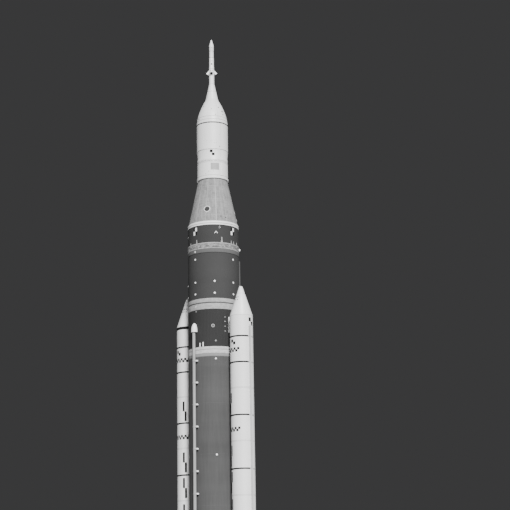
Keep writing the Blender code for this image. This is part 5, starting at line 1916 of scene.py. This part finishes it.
    def aft_skirt(self) -> None:
        """Builds the flared skirt with its two rings and four feet."""
        steps = ((0.05, 0.0), (0.03, 0.04), (-0.03, 0.04), (-0.05, 0.0))
        rings = [(self.skirt_skin(height + shift) + proud, height + shift)
                 for height in self.skirt_rings for shift, proud in steps]
        top, (low, high) = self.skirt_top - self.seam, self.curtain_heights
        outer_rim, inner_rim = self.rim_radii
        profile = [(self.skirt_top_radius, top), *rings, (self.skirt_skin(1.75), 1.75),
                   (outer_rim, self.skirt_base), (inner_rim, self.skirt_base),
                   (self.skirt_skin(low) - self.skirt_wall, low), (self.curtain_hole, low),
                   (self.curtain_hole, high), (self.skirt_skin(high) - self.skirt_wall, high), (1.80, top)]
        skirt = Shaper().turned(profile, self.centre, self.sides, loop=True)
        for angle in self.foot_angles:
            spot = polar(angle, self.foot_radius)
            skirt.box((0.5, 0.5, 0.7), self.x + spot[0], spot[1], 1.85, angle, bevel=0.04)
        skirt.piece(f"{self.name}_aft_skirt_shell", Finishes.BOOSTER, replaces=(f"{self.name}_aft_skirt",))
        width = self.skirt_skin(low) - self.skirt_wall - 1.452
        curtain = Shaper().band(1.452, low - 0.004, low - 0.001, width, self.centre, self.sides, 0.0)
        curtain.piece(f"{self.name}_heat_curtain", Finishes.CURTAIN)

    def skirt_details(self) -> None:
        """Builds the skirt's motor covers and its foot bolts."""
        covers = Shaper()
        for index in range(4):
            angle = self.inboard(14.0 + 12.0 * index)
            covers.plate(self.skirt_skin, (angle - 4.0, angle + 4.0), (2.3, 2.68), 0.05, centre=self.centre,
                         rows=2)
        covers.piece(f"{self.name}_skirt_motor_covers", Finishes.SEAM)
        bolts = Shaper()
        for angle in self.foot_angles:
            spot = polar(angle, self.foot_radius)
            bolts.rod((self.x + spot[0], spot[1], 2.19), (self.x + spot[0], spot[1], 2.3), 0.12, sides=6)
        bolts.piece(f"{self.name}_foot_bolts", Finishes.BRACKET)


@dataclass
class BoosterNozzle:
    """A booster's nozzle with its collar and rings."""

    name: str
    x: float
    pivot: float = 3.5
    throat_depth: float = 0.9
    throat_radius: float = 0.65
    exit_radius: float = 1.8
    wall: float = 0.1
    power: float = 0.8
    collar_radius: float = 1.9
    collar_wall: float = 0.07
    collar_angle: float = 55.0
    stations: int = 12

    def inner(self, depth: float) -> float:
        """Returns the nozzle's inner radius at a depth below the pivot."""
        run = min(max((depth - self.throat_depth) / (self.pivot - self.throat_depth), 0.0), 1.0)
        return self.throat_radius + (self.exit_radius - self.throat_radius) * run**self.power

    def build(self) -> None:
        """Builds the nozzle and its rings."""
        centre, body = (self.x, 0.0), f"{self.name}_nozzle"
        length = self.pivot - self.throat_depth
        inside = [(self.inner(self.throat_depth + length * step / self.stations),
                   length * (1 - step / self.stations))
                  for step in range(self.stations + 1)]
        collar = [*arc(self.collar_radius - self.collar_wall, self.pivot, 36.0, self.collar_angle, 6),
                  *arc(self.collar_radius, self.pivot, self.collar_angle, 36.6, 6)]
        outer = [(radius + self.wall, height) for radius, height in inside
                 if height < self.pivot - 1.9]
        seat = self.pivot - 0.303
        outline = [(0.0, seat), (0.2, seat), (0.88, self.pivot - 0.6), (0.88, self.pivot - 1.1),
                   *collar, *outer, *reversed(inside), (0.0, length)]
        wall = Shaper().turned(outline, centre, 72)
        wall.piece(f"{self.name}_nozzle_wall", Finishes.ABLATIVE, body, (body,))
        rings = Shaper()
        for height in (1.3, 0.9, 0.5, 0.12):
            radius = self.inner(self.pivot - height) + self.wall
            proud = 0.0 if height < 0.2 else 0.03
            rings.band(radius, height - 0.05, height + 0.05, proud, centre, 72)
        rings.piece(f"{self.name}_nozzle_rings", Finishes.NOZZLE_CORK, body)


@dataclass
class Studio:
    """The pale floor, soft lights and camera."""

    distance: float = 240.0
    azimuth: float = 46.85
    pitch: float = 14.03
    yaw: float = 1.64
    roll: float = -0.97
    focal: float = 105.6
    eye_height: float = 0.2
    floor_height: float = -0.03
    floor_half: float = 60.0

    def build(self) -> None:
        """Builds the floor, the lights and the camera."""
        self.floor()
        self.lights()
        self.camera()

    def floor(self) -> None:
        """Builds the pale floor just under the lowest nozzles."""
        data = bpy.data.meshes.new("studio_floor")
        sheet = bmesh.new()
        bmesh.ops.create_grid(sheet, x_segments=1, y_segments=1, size=self.floor_half)
        sheet.to_mesh(data)
        sheet.free()
        floor = bpy.data.objects.new("studio_floor", data)
        floor.location.z = level(self.floor_height)
        recipe = Recipe("studio_floor_paint")
        cloud = recipe.noise(0.6, 3.0)
        data.materials.append(recipe.done(recipe.span(cloud, 0.36, 0.4), 0.8, 0.0, cloud, 0.0005))
        bpy.context.scene.collection.objects.link(floor)
        floor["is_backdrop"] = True

    def lights(self) -> None:
        """Builds an even world and two soft suns."""
        world = bpy.data.worlds.new("studio_world")
        bpy.context.scene.world = world
        world.use_nodes = True
        sky = world.node_tree.nodes["Background"].inputs
        sky["Color"].default_value = (0.25, 0.25, 0.255, 1.0)
        sky["Strength"].default_value = 0.19
        # Suns: name, azimuth and height of the direction they shine from, strength, softness
        suns = (("key_sun", 56.0, 34.0, 9.0, 12.0), ("fill_sun", 20.0, 12.0, 0.3, 40.0))
        for name, azimuth, height, strength, soft in suns:
            data = bpy.data.lights.new(name, "SUN")
            data.energy = strength
            data.angle = math.radians(soft)
            lamp = bpy.data.objects.new(name, data)
            turn, rise = math.radians(azimuth), math.radians(height)
            back = Vector((math.sin(turn) * math.cos(rise), -math.cos(turn) * math.cos(rise),
                           math.sin(rise)))
            lamp.rotation_mode = "QUATERNION"
            lamp.rotation_quaternion = (-back).to_track_quat("-Z", "Y")
            bpy.context.scene.collection.objects.link(lamp)

    def camera(self) -> None:
        """Places the camera at floor level, looking up at the vehicle."""
        data = bpy.data.cameras.new("camera")
        data.sensor_width = 36.0
        data.lens = self.focal
        data.clip_end = 500.0
        camera = bpy.data.objects.new("camera", data)
        turns = (self.azimuth, self.yaw, self.pitch, self.roll)
        azimuth, yaw, pitch, roll = (math.radians(value) for value in turns)
        look = Vector((-math.sin(azimuth), math.cos(azimuth), 0.0))
        right = Vector((math.cos(azimuth), math.sin(azimuth), 0.0))
        up = Vector((0.0, 0.0, 1.0))
        eye = -look * self.distance * SCALE + up * level(self.eye_height)
        ahead = look * math.cos(yaw) + right * math.sin(yaw)
        across = right * math.cos(yaw) - look * math.sin(yaw)
        forward = ahead * math.cos(pitch) + up * math.sin(pitch)
        above = up * math.cos(pitch) - ahead * math.sin(pitch)
        side = across * math.cos(roll) + above * math.sin(roll)
        crown = above * math.cos(roll) - across * math.sin(roll)
        turn = Matrix((side, crown, -forward)).transposed()
        camera.matrix_world = Matrix.Translation(eye) @ turn.to_4x4()
        bpy.context.scene.collection.objects.link(camera)
        bpy.context.scene.camera = camera


def dress_kept_nodes(nodes: dict[str, bpy.types.Object]) -> None:
    """Gives each frame node that stays its own finish.

    Args:
        nodes: The frame's nodes by name.
    """
    for name, node in nodes.items():
        finish = Finishes.SHIELD if name == "base_heat_shield" else Finishes.MACHINED
        node.data.materials.clear()
        node.data.materials.append(finish.material())


def corners(box: Sequence[Vector]) -> list[list[float]]:
    """Returns a box's two corners as plain lists."""
    return [[float(value) for value in corner] for corner in box]


def main() -> None:
    """Builds the whole scene around the frame."""
    logging.basicConfig(level=logging.INFO, format="%(message)s")
    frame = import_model()
    before = corners(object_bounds())
    dress_kept_nodes(frame["nodes"])
    Studio().build()
    EscapeTower().build()
    Spacecraft().build()
    StageAdapter().build()
    CoreStage().build()
    OutsideLines().build()
    BaseShield().build()
    for number, (x, y) in enumerate(BaseShield.centres, start=1):
        MainEngine(f"engine_{number}", x, y).build()
    for side in Side:
        booster = Booster(side)
        booster.build()
        BoosterNozzle(booster.name, booster.x).build()
    {"cad": before, "visual": corners(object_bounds())}


if __name__ == "__main__":
    main()
